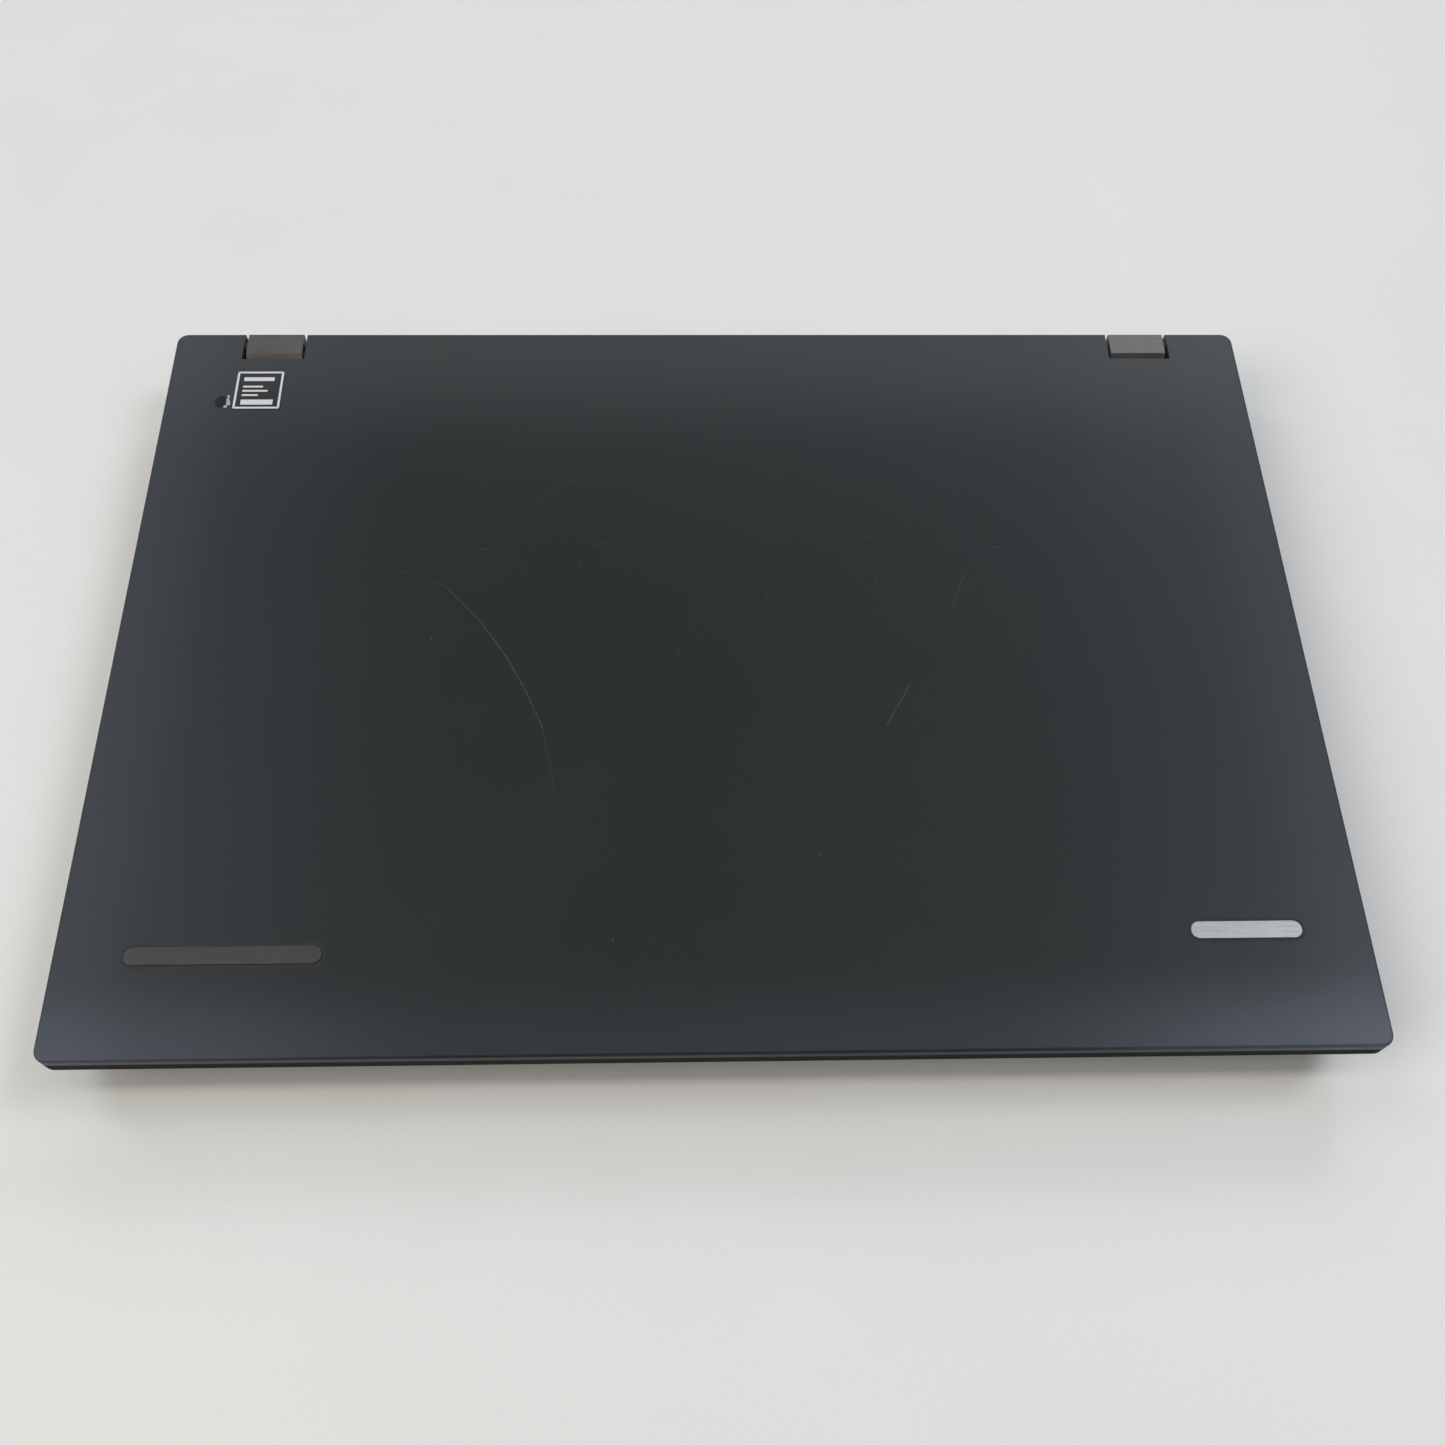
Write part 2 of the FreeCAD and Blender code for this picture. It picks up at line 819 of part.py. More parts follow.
def make_lid_cover():
    body = body_named("lid_cover")
    outline = box("-half_width", "half_width", "-half_depth", "half_depth")
    add(body, "XY", [outline], "lid_floor", "closed_height")
    fillet(body, "corner_radius", upright_corner("half_width", "half_depth"))
    top = number("closed_height")
    fillet(body, "lid_edge_radius", lambda ends: all(near(end.z, top) for end in ends))
    for side in (1, -1):
        left, right = mirrored(side, "notch_inner", "notch_outer")
        notch = box(left, right, "notch_front", "half_depth + notch_wall")
        cut(body, "XY", [notch], "lid_floor", "closed_height")
    cut(body, "XY", [inside_lid("0")], "lid_floor", "lid_ceiling")
    shaft_hole = ring("axis_y", "axis_z", "shaft_radius + slide_clearance")
    for side in (1, -1):
        cut(body, "YZ", [shaft_hole], *mirrored(side, "notch_outer", "notch_outer + notch_wall"))
    cable_hole = ring("axis_y", "axis_z", "cable_radius + slide_clearance")
    cut(body, "YZ", [cable_hole], *mirrored(-1, "notch_inner - notch_wall", "notch_inner"))


def make_lid_bezel():
    body = body_named("lid_bezel")
    add(body, "XY", [inside_lid("fit_clearance")], "lid_floor", "bezel_back")
    window = box("-window_x", "window_x", "window_front", "window_rear")
    cut(body, "XY", [window], "lid_floor", "bezel_back")
    eye = ring("0", "camera_set_back - half_depth", "camera_radius + fit_clearance")
    cut(body, "XY", [eye], "lid_floor", "bezel_back")


def make_screen():
    body = body_named("lcd_panel")
    outline = box("-panel_x", "panel_x", "panel_front", "panel_rear")
    add(body, "XY", [outline], "bezel_back", "bezel_back + panel_thickness")


def make_camera():
    body = body_named("camera_module")
    middle = "camera_set_back - half_depth"
    board = box(*span("0", "camera_board_width"), *span(middle, "camera_board_depth"))
    add(body, "XY", [board], "bezel_back", "bezel_back + camera_board_thickness")
    add(body, "XY", [ring("0", middle, "camera_radius")], "lid_floor + lens_recess", "bezel_back")


def make_lid_bumpers():
    body = body_named("lid_bumpers")
    front = "lid_wall + bumper_inset - half_depth"
    pads = []
    for share in (-3, -1, 1, 3):
        left, right = span(f"{share} * window_x / 3", "bumper_width")
        pads.append(box(left, right, front, f"{front} + bumper_depth"))
    add(body, "XY", pads, "lid_floor - bumper_height", "lid_floor")


# Hinges
def make_hinge_arm(side, name):
    body = body_named(name)
    lug_front = "axis_y - lug_reach"
    lug = box(lug_front, "arm_rear", "bezel_back + fit_clearance", "lid_ceiling")
    add(body, "YZ", [lug], *mirrored(side, "lug_inner", "lug_outer"))
    shoulder = "half_depth - arm_shoulder"
    corners = [
        ("lug_inner", "arm_rear"),
        ("arm_inner", "arm_rear"),
        ("arm_outer", "arm_rear - arm_width"),
        ("arm_outer", "arm_front"),
        ("arm_inner", "arm_front"),
        ("arm_inner", shoulder),
        ("lug_inner", shoulder),
    ]
    strip = [(f"{side} * ({across})", deep) for across, deep in corners]
    add(body, "XY", [strip], "lid_ceiling - arm_thickness", "lid_ceiling")
    eye = ring("axis_y", "axis_z", "neck_radius + running_clearance")
    cut(body, "YZ", [eye], *mirrored(side, "lug_inner", "lug_outer"))


def make_hinge_shaft(side, name):
    body = body_named(name)
    barrel = ring("axis_y", "axis_z", "shaft_radius")
    shoulder = "notch_outer + notch_wall"
    add(body, "YZ", [barrel], *mirrored(side, "block_outer - shaft_engagement", shoulder))
    neck = ring("axis_y", "axis_z", "neck_radius")
    add(body, "YZ", [neck], *mirrored(side, shoulder, "lug_outer"))


def make_hinge_washers():
    body = body_named("hinge_washers")
    rims = [ring("axis_y", "axis_z", "washer_radius"), ring("axis_y", "axis_z", "bore_radius")]
    inner, outer = span("(block_outer + notch_outer) / 2", "washer_thickness")
    for side in (1, -1):
        add(body, "YZ", rims, *mirrored(side, inner, outer))


HINGE_SCREWS = [
    (f"{side} * (hinge_x + {end} * block_width / 4)", "block_front - 2 * block_foot_depth / 3")
    for side in (1, -1)
    for end in (1, -1)
]


def make_hinge_block(side, name):
    body = body_named(name)
    foot_rear = "inner_y - fit_clearance"
    profile = [
        ("block_rear", "block_top"),
        ("block_rear", "block_shoulder"),
        (foot_rear, "block_shoulder"),
        (foot_rear, "block_base"),
        ("block_front - block_foot_depth", "block_base"),
        ("block_front - block_foot_depth", "block_foot_top"),
        ("block_front", "block_foot_top"),
        ("block_front", "block_top - block_bevel"),
        ("block_front + block_bevel", "block_top"),
    ]
    inner, outer = mirrored(side, "block_inner", "block_outer")
    add(body, "YZ", [profile], inner, outer)
    bore = ring("axis_y", "axis_z", "bore_radius")
    depth = "block_outer - shaft_engagement - fit_clearance"
    cut(body, "YZ", [bore], *mirrored(side, depth, "block_outer"))
    holes = [
        ring(across, deep, "screw_radius + fit_clearance")
        for across, deep in HINGE_SCREWS
        if number(across) * side > 0
    ]
    cut(body, "XY", holes, "block_base", "block_foot_top")
    return body


def cut_cable_slot(body):
    """Room in the left hinge block for the display cable."""
    rear = "axis_y + cable_radius + slide_clearance"
    top = "axis_z + cable_radius + fit_clearance"
    slot = box("block_front", rear, "block_foot_top", top)
    lip = "block_inner + cable_slot_lip"
    far = "block_inner + cable_slot_inset + cable_radius + slide_clearance"
    cut(body, "YZ", [slot], *mirrored(-1, lip, far))
    lead = ring("axis_y", "axis_z", "cable_radius + fit_clearance")
    cut(body, "YZ", [lead], *mirrored(-1, "block_inner", lip))


def make_cables():
    turn = "lid_cable_lead - block_inner"
    tube("lid_cable", [
        ("cable_end_gap - block_inner", "axis_y", "axis_z"),
        (turn, "axis_y", "axis_z"),
        (turn, "panel_rear", "axis_z"),
    ])
    drop = "-(block_inner + cable_slot_inset)"
    level = "block_foot_top + cable_lift + cable_radius"
    lane = "-(fan_right + bay_x + bay_wall) / 2"
    tube("display_cable", [
        ("-block_inner", "axis_y", "axis_z"),
        (drop, "axis_y", "axis_z"),
        (drop, "block_front + cable_turn", level),
        (drop, "cable_lane", level),
        (lane, "cable_lane", level),
        (lane, "board_rear", level),
    ])


# Base shells
POSTS = [
    ("front_post_x", "-front_post_y"),
    ("-front_post_x", "-front_post_y"),
    ("rear_post_x", "rear_post_y"),
    ("-rear_post_x", "rear_post_y"),
]
BOARD_BOSSES = [
    ("boss_left_inset - board_left", "boss_front_inset - board_front"),
    ("-boss_front_inset - board_step_x", "boss_front_inset - board_front"),
    ("board_right - boss_edge", "boss_edge - board_step_y"),
    ("board_right - boss_edge", "board_rear - boss_edge"),
    ("boss_fan_inset - fan_corner_x", "board_rear - boss_edge"),
    ("boss_edge - board_left", "fan_corner_y - boss_edge"),
]


def rings(places, radius):
    return [ring(across, deep, radius) for across, deep in places]


def pad_outline(margin):
    """The touchpad's rectangle, let out by a margin."""
    left, right = span("0", f"pad_width + 2 * ({margin})")
    return box(left, right, f"pad_front - ({margin})", f"pad_front + pad_depth + ({margin})")


def keyboard_outline(margin):
    """The keyboard's rectangle, let out by a margin."""
    left, right = span("0", f"keyboard_width + 2 * ({margin})")
    return box(left, right, f"-keyboard_front - ({margin})", f"keyboard_y + ({margin})")


def make_top_case():
    body = body_named("top_case")
    add(body, "XY", [box("-case_x", "case_x", "-case_y", "case_y")], "parting_height", "deck")
    fillet(body, "case_corner", upright_corner("case_x", "case_y"))
    bevel = [
        ("case_y - rear_bevel_depth", "deck"),
        ("case_y + fit_clearance", "deck"),
        ("case_y + fit_clearance", "deck - rear_bevel_height"),
        ("case_y", "deck - rear_bevel_height"),
    ]
    cut(body, "YZ", [bevel], "-case_x", "case_x")
    top = number("deck")
    chamfer(body, "deck_edge", lambda ends: all(near(end.z, top) for end in ends))
    hollow = box("-inner_x", "inner_x", "-inner_y", "case_y - rear_strip")
    cut(body, "XY", [hollow], "parting_height", "deck_under")
    add(body, "XY", [keyboard_outline("fit_clearance + tray_wall")], "ledge_under", "deck_under")
    cut(body, "XY", [keyboard_outline("fit_clearance")], "plate_under", "deck")
    cut(body, "XY", [keyboard_outline("-ledge_width")], "ledge_under", "plate_under")
    add(body, "XY", [pad_outline("bracket_rim")], "bracket_top", "deck_under")
    cut(body, "XY", [pad_outline("slide_clearance")], "bracket_top", "deck")
    hole = ring("button_x", "button_y", "button_radius + slide_clearance")
    cut(body, "XY", [hole], "deck_under", "deck")
    add(body, "XY", rings(POSTS, "post_radius"), "floor_top", "deck_under")
    pilots = rings(POSTS, "screw_radius + running_clearance")
    cut(body, "XY", pilots, "floor_top", "floor_top + screw_length")
    for side in (1, -1):
        left, right = mirrored(side, "block_inner - fit_clearance", "block_outer + fit_clearance")
        notch = box(left, right, "block_front - fit_clearance", "case_y + fit_clearance")
        cut(body, "XY", [notch], "parting_height", "deck")


def make_tub():
    """The lower shell with its sloping front, battery bay and bosses, before openings are cut."""
    body = blank_named("bottom_case_tub")
    profile = [
        ("-case_y", "parting_height"),
        ("front_slope - case_y", "foot_height"),
        ("case_y", "foot_height"),
        ("case_y", "parting_height"),
    ]
    add(body, "YZ", [profile], "-case_x", "case_x")
    side = number("case_x")

    def runs_up_a_corner(ends):
        beside = all(near(abs(end.x), side) for end in ends)
        return beside and not near(ends[0].z, ends[-1].z)
    fillet(body, "case_corner", runs_up_a_corner)
    bottom = number("foot_height")
    chamfer(body, "bottom_chamfer", lambda ends: all(near(end.z, bottom) for end in ends))
    hollow = [
        ("slope_wall - case_y", "parting_height"),
        ("slope_wall + slope_run - case_y", "floor_top"),
        ("inner_y", "floor_top"),
        ("inner_y", "parting_height"),
    ]
    cut(body, "YZ", [hollow], "-inner_x", "inner_x")
    outer = "bay_x + bay_wall"
    walls = box(f"-({outer})", outer, "bay_front - bay_wall", "inner_y")
    add(body, "XY", [walls], "floor_top", "bay_top")
    cut(body, "XY", [box("-bay_x", "bay_x", "bay_front", "case_y")], "foot_height", "bay_top")
    rail = span("rail_base + rail_height / 2", "rail_height - 2 * bay_clearance")
    for side in (1, -1):
        left, right = mirrored(side, "battery_x - rail_depth + bay_clearance", "bay_x")
        add(body, "XY", [box(left, right, "bay_front", "inner_y")], *rail)
        left, right = mirrored(side, "block_inner - fit_clearance", "block_outer + fit_clearance")
        notch = box(left, right, "inner_y", "case_y")
        cut(body, "XY", [notch], "block_shoulder - fit_clearance", "parting_height")
    add(body, "XY", rings(HINGE_SCREWS, "boss_radius"), "floor_top", "block_base")
    add(body, "XY", rings(BOARD_BOSSES, "boss_radius"), "floor_top", "board_height")
    return body


def blade_slot():
    """The first of the slots that the battery contacts pass through."""
    left, right = span("connector_x - 2 * blade_pitch", "blade_width + 2 * slide_clearance")
    low = "board_top + blade_lift - slide_clearance"
    return box(left, right, low, f"{low} + blade_height + 2 * slide_clearance")


def port(middle, height, width, tall):
    """A rectangular port opening with its clearance."""
    room = "2 * fit_clearance"
    return box(*span(middle, f"{width} + {room}"), *span(height, f"{tall} + {room}"))


def video_shape(margin):
    """The slant sided outline of the video socket."""
    half = f"(video_shell_width / 2 + ({margin}))"
    tall = f"(video_shell_height / 2 + ({margin}))"
    return [
        (f"video_y - {half}", f"port_height + {tall}"),
        (f"video_y - {half} + video_slant", f"port_height - {tall}"),
        (f"video_y + {half} - video_slant", f"port_height - {tall}"),
        (f"video_y + {half}", f"port_height + {tall}"),
    ]


VIDEO_SCREWS = [(f"video_y + {end} * video_screw_spacing / 2", "port_height") for end in (-1, 1)]


def left_openings():
    """What is open in the left wall, and the outlet of the fan."""
    tool = blank_named("left_openings")
    wall = ("-case_x - fit_clearance", "-inner_x + fit_clearance")
    for middle in ("-usb_front_y", "-usb_middle_y"):
        add(tool, "YZ", [port(middle, "port_height", "usb_width", "usb_height")], *wall)
    card_middle = "board_height - card_height / 2"
    add(tool, "YZ", [port("-card_y", card_middle, "card_width", "card_height")], *wall)
    add(tool, "YZ", [video_shape("fit_clearance")], *wall)
    add(tool, "YZ", rings(VIDEO_SCREWS, "video_screw_radius + fit_clearance"), *wall)
    top = "vent_base + vent_slot_height"
    slot = box(*span("fan_front + vent_pitch / 2", "vent_slot_width"), "vent_base", top)
    first = add(tool, "YZ", [slot], *wall)
    repeat(tool, first, "Y", 10, "vent_pitch")
    return tool


def right_openings():
    """What is open in the right wall."""
    tool = blank_named("right_openings")
    wall = ("inner_x - fit_clearance", "case_x + fit_clearance")
    usb_height = "small_board_top + usb_height / 2"
    add(tool, "YZ", [port("usb_right_y", usb_height, "usb_width", "usb_height")], *wall)
    jack_low = "floor_top + network_height / 2"
    add(tool, "YZ", [port("network_y", jack_low, "network_width", "network_height")], *wall)
    add(tool, "YZ", [ring("-audio_y", "audio_z", "audio_bush_radius + fit_clearance")], *wall)
    add(tool, "YZ", [box(*span("lock_y", "lock_width"), *span("lock_z", "lock_height"))], *wall)
    front = "-optical_front - slide_clearance"
    drive = box(front, "optical_rear + slide_clearance", "floor_top", "optical_top + slide_clearance")
    add(tool, "YZ", [drive], *wall)
    return tool


def rear_openings():
    """The hole for the power plug and the slots for the battery contacts."""
    tool = blank_named("rear_openings")
    socket = ring("power_x", "floor_top + power_height / 2", "power_radius + slide_clearance")
    add(tool, "XZ", [socket], "inner_y - fit_clearance", "case_y + fit_clearance")
    front = "bay_front - bay_wall - fit_clearance"
    first = add(tool, "XZ", [blade_slot()], front, "bay_front + fit_clearance")
    repeat(tool, first, "X", 5, "blade_pitch")
    return tool


def door_outline(margin):
    return box(
        f"-door_left - ({margin})",
        f"door_right + ({margin})",
        f"-door_front - ({margin})",
        f"door_rear + ({margin})",
    )


def floor_openings():
    """Air slots, grilles, screw holes, latch slots and the service opening in the floor."""
    tool = blank_named("floor_openings")
    under = "foot_height - fit_clearance"
    over = "floor_top + fit_clearance"
    add(tool, "XY", [door_outline("fit_clearance")], under, "foot_height + door_thickness")
    add(tool, "XY", [door_outline("-door_ledge")], "foot_height + door_thickness", over)
    add(tool, "XY", rings(POSTS, "screw_radius + fit_clearance"), under, over)
    counterbore = "foot_height + screw_head_height"
    add(tool, "XY", rings(POSTS, "screw_head_radius + fit_clearance"), under, counterbore)
    intake = box(*span("-fan_x", "intake_length"), *span("fan_y - 5 * intake_pitch / 2", "intake_width"))
    first = add(tool, "XY", [intake], under, over)
    repeat(tool, first, "Y", 6, "intake_pitch")
    for side in (1, -1):
        start = f"{side} * speaker_x - 7 * grille_pitch / 2"
        slot = box(*span(start, "grille_slot_width"), *span("-speaker_y", "grille_slot_length"))
        first = add(tool, "XY", [slot], under, over)
        repeat(tool, first, "X", 8, "grille_pitch")
        neck = "latch_start + latch_length - latch_neck"
        low = f"{neck} - latch_travel - slide_clearance"
        left, right = mirrored(side, low, f"{neck} + latch_neck + slide_clearance")
        slot = box(left, right, *span("latch_y", "latch_neck + 2 * slide_clearance"))
        add(tool, "XY", [slot], under, over)
    return tool


def inner_openings():
    """Pilot holes in the bosses, and the latch windows in the walls of the battery bay."""
    tool = blank_named("inner_openings")
    pilot = "screw_radius + running_clearance"
    base = "floor_top + case_floor"
    add(tool, "XY", rings(HINGE_SCREWS, pilot), base, "block_base + fit_clearance")
    add(tool, "XY", rings(BOARD_BOSSES, pilot), base, "board_height + fit_clearance")
    for side in (1, -1):
        left, right = mirrored(side, "bay_x - fit_clearance", "bay_x + bay_wall + fit_clearance")
        window = box(left, right, *span("latch_y", "latch_width + 2 * slide_clearance"))
        add(tool, "XY", [window], "floor_top", "latch_base + latch_thickness + slide_clearance")
    return tool


def make_bottom_case():
    openings = [left_openings(), right_openings(), rear_openings(), floor_openings(), inner_openings()]
    carve("bottom_case", make_tub(), openings)


def make_rubber_feet():
    body = body_named("rubber_feet")
    feet = []
    for side in (1, -1):
        for middle in ("-front_foot_y", "rear_foot_y"):
            across = span(f"{side} * foot_x", "foot_length")
            feet.append(box(*across, *span(middle, "foot_depth")))
    add(body, "XY", feet, "0", "foot_height")
    chamfer(body, "foot_chamfer", lambda ends: all(near(end.z, 0) for end in ends))


def make_service_door():
    body = body_named("service_door")
    add(body, "XY", [door_outline("0")], "foot_height", "foot_height + door_thickness")


def make_screws():
    body = body_named("case_screws")
    seat = "foot_height + screw_head_height"
    add(body, "XY", rings(POSTS, "screw_head_radius"), "foot_height", seat)
    add(body, "XY", rings(POSTS, "screw_radius"), seat, "floor_top + screw_length")
    for places, level in ((HINGE_SCREWS, "block_foot_top"), (BOARD_BOSSES, "board_top")):
        add(body, "XY", rings(places, "screw_head_radius"), level, f"{level} + screw_head_height")
        add(body, "XY", rings(places, "screw_radius"), "floor_top + 2 * case_floor", level)


# Keyboard
FULL_ROWS = {
    "number_row_keys": (4, [(0, 1, 13), (13, 2, 1)]),
    "top_letter_keys": (3, [(0, 1.5, 1), (1.5, 1, 12), (13.5, 1.5, 1)]),
    "home_letter_keys": (2, [(0, 1.75, 1), (1.75, 1, 11), (12.75, 2.25, 1)]),
    "lower_letter_keys": (1, [(0, 2.25, 1), (2.25, 1, 10), (12.25, 2.75, 1)]),
    "modifier_keys": (0, [(0, 1, 4), (9, 1, 3)]),
    "space_bar": (0, [(4, 5, 1)]),
}
FUNCTION_KEYS = 17
STICK_PLACE = ("first_key_x + 6.75 * unit_pitch", "first_key_y + 2 * row_pitch")


def key_runs():
    """Every run of like keys: its node, first outline, count and step."""
    runs = []
    for name, (row, groups) in FULL_ROWS.items():
        low = f"first_key_y + {row} * row_pitch + key_gap / 2"
        high = f"{low} + row_pitch - key_gap"
        for start, width, count in groups:
            left = f"first_key_x + {start} * unit_pitch + key_gap / 2"
            right = f"{left} + {width} * unit_pitch - key_gap"
            runs.append((name, (left, right, low, high), count, "unit_pitch"))
    step = f"15 * unit_pitch / {FUNCTION_KEYS}"
    left = "first_key_x + key_gap / 2"
    low = "first_key_y + 5 * row_pitch + key_gap / 2"
    outline = (left, f"{left} + {step} - key_gap", low, f"{low} + function_pitch - key_gap")
    runs.append(("function_row_keys", outline, FUNCTION_KEYS, step))
    left = "first_key_x + 12 * unit_pitch + key_gap / 2"
    for half in (0, 1):
        low = f"first_key_y + {half} * row_pitch / 2 + key_gap / 2"
        outline = (left, f"{left} + unit_pitch - key_gap", low, f"{low} + row_pitch / 2 - key_gap")
        runs.append(("arrow_keys", outline, 3, "unit_pitch"))
    return runs


def keycap(left, right, low, high):
    """A key's outline with its corners taken off."""
    corner = "key_corner"
    return [
        (f"{left} + {corner}", low),
        (f"{right} - {corner}", low),
        (right, f"{low} + {corner}"),
        (right, f"{high} - {corner}"),
        (f"{right} - {corner}", high),
        (f"{left} + {corner}", high),
        (left, f"{high} - {corner}"),
        (left, f"{low} + {corner}"),
    ]


def make_keys():
    bodies = {}
    for name, outline, count, step in key_runs():
        if name not in bodies:
            bodies[name] = body_named(name)
        body = bodies[name]
        first = add(body, "XY", [keycap(*outline)], "key_base", "key_top", "key_draft")
        if count > 1:
            repeat(body, first, "X", count, step)
    for name in ("home_letter_keys", "lower_letter_keys"):
        room = ring(*STICK_PLACE, "stick_radius + slide_clearance")
        cut(bodies[name], "XY", [room], "key_base", "key_top")


def make_keyboard_plate():
    body = body_named("keyboard_plate")
    add(body, "XY", [keyboard_outline("0")], "plate_under", "plate_top")


def make_keyboard_frame():
    """The grid that the keys stand in, with a rim that stands on the plate."""
    blank = blank_named("keyboard_frame_blank")
    add(blank, "XY", [keyboard_outline("0")], "frame_under", "frame_top")
    rim = [keyboard_outline("0"), keyboard_outline("-frame_rim")]
    add(blank, "XY", rim, "plate_top", "frame_under")
    eye = ring(*STICK_PLACE, "stick_post_radius + 3 * fit_clearance")
    cut(blank, "XY", [eye], "frame_under", "frame_top")
    low_end = "frame_under - fit_clearance"
    high_end = "frame_top + fit_clearance"
    gap = "slide_clearance"
    windows = []
    for name, (left, right, low, high), count, step in key_runs():
        tool = blank_named("key_windows")
        window = box(f"{left} - {gap}", f"{right} + {gap}", f"{low} - {gap}", f"{high} + {gap}")
        first = add(tool, "XY", [window], low_end, high_end)
        if count > 1:
            repeat(tool, first, "X", count, step)
        windows.append(tool)
    carve("keyboard_frame", blank, windows)


def make_pointing_stick():
    body = body_named("pointing_stick")
    top = "deck + stick_height"
    add(body, "XY", [ring(*STICK_PLACE, "stick_post_radius")], "plate_top", f"{top} - stick_cap_height")
    add(body, "XY", [ring(*STICK_PLACE, "stick_radius")], f"{top} - stick_cap_height", top)
    level = number(top)
    fillet(body, "stick_round", lambda ends: all(near(end.z, level) for end in ends))


def make_touchpad():
    body = body_named("touchpad")
    add(body, "XY", [pad_outline("0")], "pad_top - pad_thickness", "pad_top")
    bracket = body_named("touchpad_bracket")
    add(bracket, "XY", [pad_outline("bracket_rim")], "bracket_top - bracket_thickness", "bracket_top")


def make_power_button():
    body = body_named("power_button")
    face = ring("button_x", "button_y", "button_radius")
    add(body, "XY", [face], "pad_top - button_height", "pad_top")


# Boards and cooling
def make_motherboard():
    body = body_named("motherboard")
    outline = [
        ("-board_left", "-board_front"),
        ("-board_step_x", "-board_front"),
        ("-board_step_x", "-board_step_y"),
        ("board_right", "-board_step_y"),
        ("board_right", "board_rear"),
        ("-fan_corner_x", "board_rear"),
        ("-fan_corner_x", "fan_corner_y"),
        ("-board_left", "fan_corner_y"),
    ]
    add(body, "XY", [outline], "board_height", "board_top")
    cut(body, "XY", rings(BOARD_BOSSES, "screw_radius + fit_clearance"), "board_height", "board_top")
    socket_right = "socket_width - fan_corner_x"
    cable_end = box("-fan_corner_x", socket_right, "board_rear - socket_depth", "board_rear")
    add(body, "XY", [cable_end], "board_top", "block_foot_top + cable_lift + 2 * cable_radius")


def make_processor():
    body = body_named("processor")
    outline = box(*span("-chip_x", "chip_width"), *span("chip_y", "chip_depth"))
    add(body, "XY", [outline], "board_top", "chip_top")


def make_heat_pipe():
    body = body_named("heat_pipe")
    plate = box(*span("-chip_x", "cold_plate_width"), *span("chip_y", "cold_plate_width - pipe_width"))
    add(body, "XY", [plate], "chip_top", "pipe_base")
    half = "pipe_width / 2"
    start = "cold_plate_width / 2 - chip_x"
    pipe = [
        (start, f"chip_y - {half}"),
        (f"-pipe_end_x - {half}", f"chip_y - {half}"),
        (f"-pipe_end_x - {half}", "fan_rear"),
        (f"-pipe_end_x + {half}", "fan_rear"),
        (f"-pipe_end_x + {half}", f"chip_y + {half}"),
        (start, f"chip_y + {half}"),
    ]
    add(body, "XY", [pipe], "pipe_base", "pipe_base + pipe_height")
    outer_x = number(f"-pipe_end_x - {half}")
    front = number(f"chip_y - {half}")

    def outer_corner(ends):
        return all(near(end.x, outer_x) and near(end.y, front) for end in ends)
    fillet(body, "pipe_width", outer_corner)


def make_heat_fins():
    body = body_named("heat_fins")
    cover = box("-fin_left", "-fin_right", "fan_front", "fan_rear")
    add(body, "XY", [cover], "pipe_base - fin_thickness", "pipe_base")
    fin = box("-fin_left", "-fin_right", "fan_front", "fan_front + fin_thickness")
    first = add(body, "XY", [fin], "floor_top + fan_wall", "pipe_base - fin_thickness")
    repeat(body, first, "Y", 18, "fin_pitch")


def make_fan():
    body = body_named("fan_housing")
    outline = box("-fan_left", "-fan_right", "fan_front", "fan_rear")
    add(body, "XY", [outline], "floor_top", "fan_top")
    base = "floor_top + fan_wall"
    hollow = box("fan_front + fan_wall", "fan_rear - fan_wall", base, "fan_top - fan_wall")
    cut(body, "YZ", [hollow], "-fan_left", "-fan_right - fan_wall")
    inlet = ring("-fan_x", "fan_y", "fan_inlet_radius")
    cut(body, "XY", [inlet], "fan_top - fan_wall", "fan_top")
    cut(body, "XY", [inlet], "floor_top", base)
    add(body, "XY", [ring("-fan_x", "fan_y", "rotor_hub_radius")], "floor_top", base)
    reach = "2 * fan_inlet_radius + fan_wall"
    spoke = "3 * fan_wall"
    add(body, "XY", [box(*span("-fan_x", reach), *span("fan_y", spoke))], "floor_top", base)
    add(body, "XY", [box(*span("-fan_x", spoke), *span("fan_y", reach))], "floor_top", base)
    spindle = ring("-fan_x", "fan_y", "spindle_radius")
    add(body, "XY", [spindle], "floor_top", "fan_top - 3 * fan_wall")

    rotor = body_named("fan_rotor")
    base = "floor_top + fan_wall + slide_clearance"
    top = "fan_top - 2 * fan_wall"
    add(rotor, "XY", [ring("0", "0", "rotor_hub_radius")], base, top)
    blade = box("rotor_hub_radius - blade_thickness", "rotor_radius", *span("0", "blade_thickness"))
    first = add(rotor, "XY", [blade], base, top)
    around(rotor, first, 13)
    cut(rotor, "XY", [ring("0", "0", "spindle_radius + running_clearance")], base, top)
    rotor.setExpression("Placement.Base.x", formula("-fan_x"))
    rotor.setExpression("Placement.Base.y", formula("fan_y"))


def make_memory():
    body = body_named("memory_modules")
    left = "-memory_left"
    right = "memory_width - memory_left"
    rear = "memory_socket_depth - memory_front"
    low = "board_height - 3 * board_thickness"
    add(body, "XY", [box(left, right, "-memory_front", rear)], low, "board_height")
    board = box(left, right, rear, f"{rear} + memory_depth")
    under = f"{low} + board_thickness / 2"
    add(body, "XY", [board], under, f"{under} + board_thickness")
    middle = span("memory_width / 8 - memory_left", "memory_width / 6")
    chip = box(*middle, *span(f"{rear} + memory_depth / 2", "memory_chip_depth"))
    first = add(body, "XY", [chip], low, under)
    repeat(body, first, "X", 4, "memory_width / 4")


